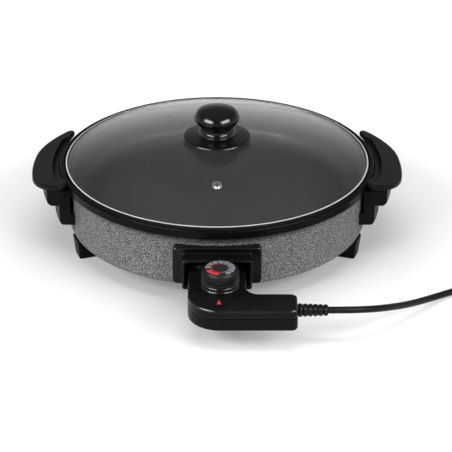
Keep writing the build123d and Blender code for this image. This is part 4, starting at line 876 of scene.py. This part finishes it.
@dataclass
class MainsCord:
    """The cord: out of the strain relief, down to the table and into a tied coil that ends in the plug."""

    diameter: float = 0.0074
    length: float = 1.1438
    exit: Point = (0.116, -0.2545, 0.0424)
    straight: float = 0.030
    bends: tuple[Point, ...] = ((0.178, -0.232, 0.032), (0.209, -0.195, 0.016), (0.241, -0.160, 0.0056))
    landing: float = 0.047
    lay: float = 0.0047
    coil_centre: Pair = (0.330, -0.085)
    coil_radius: float = 0.0486
    pitch: float = 0.0084
    layer: float = 0.0082
    dip: float = 0.0013
    turns_below: float = 1.5
    turns_above: float = 1.25
    points_per_turn: int = 20
    rise_run: float = 0.030
    plug_height: float = 0.0182

    def coil_point(self, turns: float) -> Point:
        """The coil's centre line after a number of turns from its start at the front."""
        waist = self.coil_radius - self.pitch * self.turns_below
        over = turns - self.turns_below
        if over <= 0:
            radius, height = self.coil_radius - self.pitch * turns, self.lay
        elif over <= 0.5:
            share = 2 * over
            radius = waist - self.dip * math.sin(math.pi * share)
            height = self.lay + self.layer * share * share * (3 - 2 * share)
        else:
            radius, height = waist + self.pitch * (over - 0.5), self.lay + self.layer
        angle = math.tau * turns - math.pi / 2
        return (
            self.coil_centre[0] + radius * math.cos(angle),
            self.coil_centre[1] + radius * math.sin(angle),
            height,
        )

    def route(self) -> list[Point]:
        """The control points of the whole cord."""
        x, y, z = self.exit
        coil_x, coil_y = self.coil_centre
        front = coil_y - self.coil_radius
        points = [self.exit, (x + self.straight, y, z), *self.bends, (coil_x - self.landing, front, self.lay)]
        points.append((coil_x - self.diameter, front, self.lay))
        turns = self.turns_below + 0.5 + self.turns_above
        count = round(turns * self.points_per_turn)
        points += [self.coil_point(turns * step / count) for step in range(count + 1)]
        end_x, end_y, end_z = points[-1]
        top = self.plug_height
        rise = end_y + self.diameter
        points += [
            (end_x, rise, end_z),
            (end_x, rise + 0.4 * self.rise_run, end_z + 0.06 * (top - end_z)),
            (end_x, rise + 0.6 * self.rise_run, end_z + 0.94 * (top - end_z)),
            (end_x, rise + self.rise_run, top),
            (end_x, rise + self.rise_run + self.diameter, top),
        ]
        return points

    def build(self, store: FinishStore) -> None:
        data = bpy.data.curves.new("cord", "CURVE")
        data.dimensions = "3D"
        data.bevel_depth = self.diameter / 2
        data.bevel_resolution = 5
        data.use_fill_caps = True
        spline = data.splines.new("NURBS")
        points = self.route()
        spline.points.add(len(points) - 1)
        for point, place in zip(spline.points, points):
            point.co = (*place, 1.0)
        spline.order_u = 3
        spline.use_endpoint_u = True
        spline.resolution_u = 4
        cord = bpy.data.objects.new("cord", data)
        bpy.context.scene.collection.objects.link(cord)
        store.dress(cord, RUBBER)
        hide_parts("cord_lead", "cord_coil")
        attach(cord, Body.CONTROLLER.value)
        log.info("cord: %d control points", len(points))


@dataclass
class Studio:
    """Pale floor, soft lamps and the camera."""

    lip_height: float = 0.096
    distance: float = 2.2
    elevation: float = 25.32
    pitch: float = 27.32
    focal: float = 152.6
    shift: float = 0.0198
    floor_side: float = 12.0
    floor_tone: float = 0.46
    floor_drop: float = 0.0002
    dim_glow_pool: Pair = (0.4, 0.22)
    aim: Point = (0.0, 0.0, 0.08)
    fill: float = 0.18
    ceiling: float = 0.14
    dim_above: float = 0.5
    dim_front: float = 0.2
    front_range: Pair = (-0.75, -0.1)
    polish: float = 0.55
    mirrored_glow: float = 0.3
    fade: float = 0.3
    glow: Pair = (0.2, 0.95)

    def camera(self) -> None:
        """Set the camera up at the photograph's angle."""
        data = bpy.data.cameras.new("camera")
        data.lens = self.focal
        data.sensor_width = 36.0
        data.shift_x = self.shift
        data.clip_end = 50.0
        camera = bpy.data.objects.new("camera", data)
        rise = math.radians(self.elevation)
        camera.location = (0, -self.distance * math.cos(rise), self.lip_height + self.distance * math.sin(rise))
        camera.rotation_euler = (math.radians(90 - self.pitch), 0, 0)
        bpy.context.scene.collection.objects.link(camera)
        bpy.context.scene.camera = camera

    def floor(self) -> None:
        """Lay the pale floor, which shows white away from the casserole and keeps its shadow; its glow is weaker
        near the casserole, painted shade that makes the floor there read darker.
        """
        bpy.ops.object.select_all(action="DESELECT")
        bpy.ops.mesh.primitive_plane_add(size=self.floor_side, location=(0, 0, -self.floor_drop))
        floor = bpy.context.object
        floor.name = "floor"
        board = NodeBoard("pale_floor")
        board.shader.inputs["Base Color"].default_value = (*(self.floor_tone,) * 3, 1.0)
        board.shader.inputs["Roughness"].default_value = 0.9
        board.shader.inputs["Specular IOR Level"].default_value = 0.1
        glow = board.add("ShaderNodeEmission")
        glow.inputs["Color"].default_value = (1, 1, 1, 1)
        rays = board.add("ShaderNodeLightPath")
        lift = board.add("ShaderNodeMath", operation="MULTIPLY")
        # Painted shade: the glow is weaker within the pool round the casserole, so the floor there reads darker.
        board.link(board.between(board.beyond(*self.dim_glow_pool), self.glow), lift.inputs[1])
        direct = board.add("ShaderNodeMath", operation="MAXIMUM")
        board.link(rays.outputs["Is Camera Ray"], direct.inputs[0])
        board.link(rays.outputs["Is Transmission Ray"], direct.inputs[1])
        # Reflections see only a share of the floor's glow.
        shown = board.add("ShaderNodeMath", operation="MULTIPLY_ADD", use_clamp=True)
        shown.inputs[1].default_value = self.mirrored_glow
        board.link(rays.outputs["Is Glossy Ray"], shown.inputs[0])
        board.link(direct.outputs["Value"], shown.inputs[2])
        board.link(shown.outputs["Value"], lift.inputs[0])
        board.link(lift.outputs["Value"], glow.inputs["Strength"])
        both = board.add("ShaderNodeAddShader")
        board.link(board.shader.outputs["BSDF"], both.inputs[0])
        board.link(glow.outputs["Emission"], both.inputs[1])
        board.link(both.outputs["Shader"], board.output.inputs["Surface"])
        floor.data.materials.append(board.material)

    def world(self) -> None:
        """Light the room softly: white where it is seen, and mirrored with a dim ceiling and front."""
        world = bpy.data.worlds.new("room")
        world.use_nodes = True
        bpy.context.scene.world = world
        tree = world.node_tree
        sky = tree.nodes["Background"]
        sky.inputs["Color"].default_value = (1, 1, 1, 1)
        rays = tree.nodes.new("ShaderNodeLightPath")
        either = tree.nodes.new("ShaderNodeMath")
        either.operation = "MAXIMUM"
        polish = tree.nodes.new("ShaderNodeMath")
        polish.operation = "MULTIPLY"
        polish.inputs[1].default_value = self.polish
        tree.links.new(rays.outputs["Is Glossy Ray"], polish.inputs[0])
        tree.links.new(polish.outputs["Value"], either.inputs[0])
        tree.links.new(rays.outputs["Is Transmission Ray"], either.inputs[1])
        seen = either.outputs["Value"]
        towards = tree.nodes.new("ShaderNodeSeparateXYZ")
        tree.links.new(tree.nodes.new("ShaderNodeTexCoord").outputs["Generated"], towards.inputs["Vector"])
        falling = tree.nodes.new("ShaderNodeMapRange")
        falling.inputs["From Max"].default_value = self.dim_above
        falling.inputs["To Min"].default_value = 1.0
        falling.inputs["To Max"].default_value = self.ceiling
        tree.links.new(towards.outputs["Z"], falling.inputs["Value"])
        facing = tree.nodes.new("ShaderNodeMapRange")
        facing.inputs["From Min"].default_value, facing.inputs["From Max"].default_value = self.front_range
        facing.inputs["To Min"].default_value = self.dim_front
        tree.links.new(towards.outputs["Y"], facing.inputs["Value"])
        room = tree.nodes.new("ShaderNodeMath")
        room.operation = "MULTIPLY"
        tree.links.new(falling.outputs["Result"], room.inputs[0])
        tree.links.new(facing.outputs["Result"], room.inputs[1])
        mirrored = tree.nodes.new("ShaderNodeMapRange")
        mirrored.inputs["To Min"].default_value = self.fill
        tree.links.new(seen, mirrored.inputs["Value"])
        tree.links.new(room.outputs["Value"], mirrored.inputs["To Max"])
        strength = tree.nodes.new("ShaderNodeMapRange")
        strength.inputs["To Max"].default_value = 1.0
        tree.links.new(rays.outputs["Is Camera Ray"], strength.inputs["Value"])
        tree.links.new(mirrored.outputs["Result"], strength.inputs["To Min"])
        tree.links.new(strength.outputs["Result"], sky.inputs["Strength"])

    def lamp(self, name: str, spot: Point, size: Pair, power: float, mirrored: bool = True) -> None:
        """Hang a soft lamp that faces the casserole.

        Args:
            name: The lamp's name.
            spot: Its place.
            size: Its width and height.
            power: Its power in watts.
            mirrored: Whether glass and polish show it.
        """
        data = bpy.data.lights.new(name, "AREA")
        data.shape = "RECTANGLE"
        data.size, data.size_y = size
        data.energy = power
        if mirrored:
            self.soften(data)
        lamp = bpy.data.objects.new(name, data)
        lamp.location = spot
        aim = Vector(self.aim) - Vector(spot)
        lamp.rotation_euler = aim.to_track_quat("-Z", "Y").to_euler()
        lamp.visible_glossy = mirrored
        lamp.visible_transmission = mirrored
        bpy.context.scene.collection.objects.link(lamp)

    def soften(self, data: bpy.types.AreaLight) -> None:
        """Let a lamp fade towards its edges, as a softbox does.

        Args:
            data: The lamp's light.
        """
        data.use_nodes = True
        tree = data.node_tree
        spread = tree.nodes.new("ShaderNodeSeparateXYZ")
        tree.links.new(tree.nodes.new("ShaderNodeNewGeometry").outputs["Parametric"], spread.inputs["Vector"])
        product = tree.nodes.new("ShaderNodeMath")
        product.operation = "MULTIPLY"
        for side, axis in enumerate(("X", "Y")):
            inward = tree.nodes.new("ShaderNodeMath")
            inward.operation = "PINGPONG"
            inward.inputs[1].default_value = 0.5
            tree.links.new(spread.outputs[axis], inward.inputs[0])
            fade = tree.nodes.new("ShaderNodeMapRange")
            fade.interpolation_type = "SMOOTHSTEP"
            fade.inputs["From Max"].default_value = self.fade
            tree.links.new(inward.outputs["Value"], fade.inputs["Value"])
            tree.links.new(fade.outputs["Result"], product.inputs[side])
        tree.links.new(product.outputs["Value"], tree.nodes["Emission"].inputs["Strength"])

    def build(self) -> None:
        """Set up the whole studio."""
        self.camera()
        self.floor()
        self.world()
        self.lamp("left_softbox", (-1.3, -1.2, 1.3), (2.1, 0.8), 78.0)
        self.lamp("right_softbox", (1.3, -1.2, 1.3), (2.1, 0.8), 70.0)
        self.lamp("top_softbox", (0.0, 0.4, 2.4), (1.6, 1.6), 9.0, mirrored=False)
        self.lamp("front_softbox", (0.0, -0.75, 2.2), (1.6, 0.6), 24.0, mirrored=False)
        bpy.context.scene.view_settings.view_transform = "Standard"


def main() -> None:
    """Build the pieces in order."""
    logging.basicConfig(level=logging.INFO, format="%(name)s: %(message)s")
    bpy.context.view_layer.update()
    store = FinishStore()
    store.dress_solids()
    Studio().build()
    MainsCord().build(store)
    DialKnob().build(store)
    LidKnob().build(store)
    ReliefSleeve().build(store)
    bpy.context.view_layer.update()


if __name__ == "__main__":
    main()
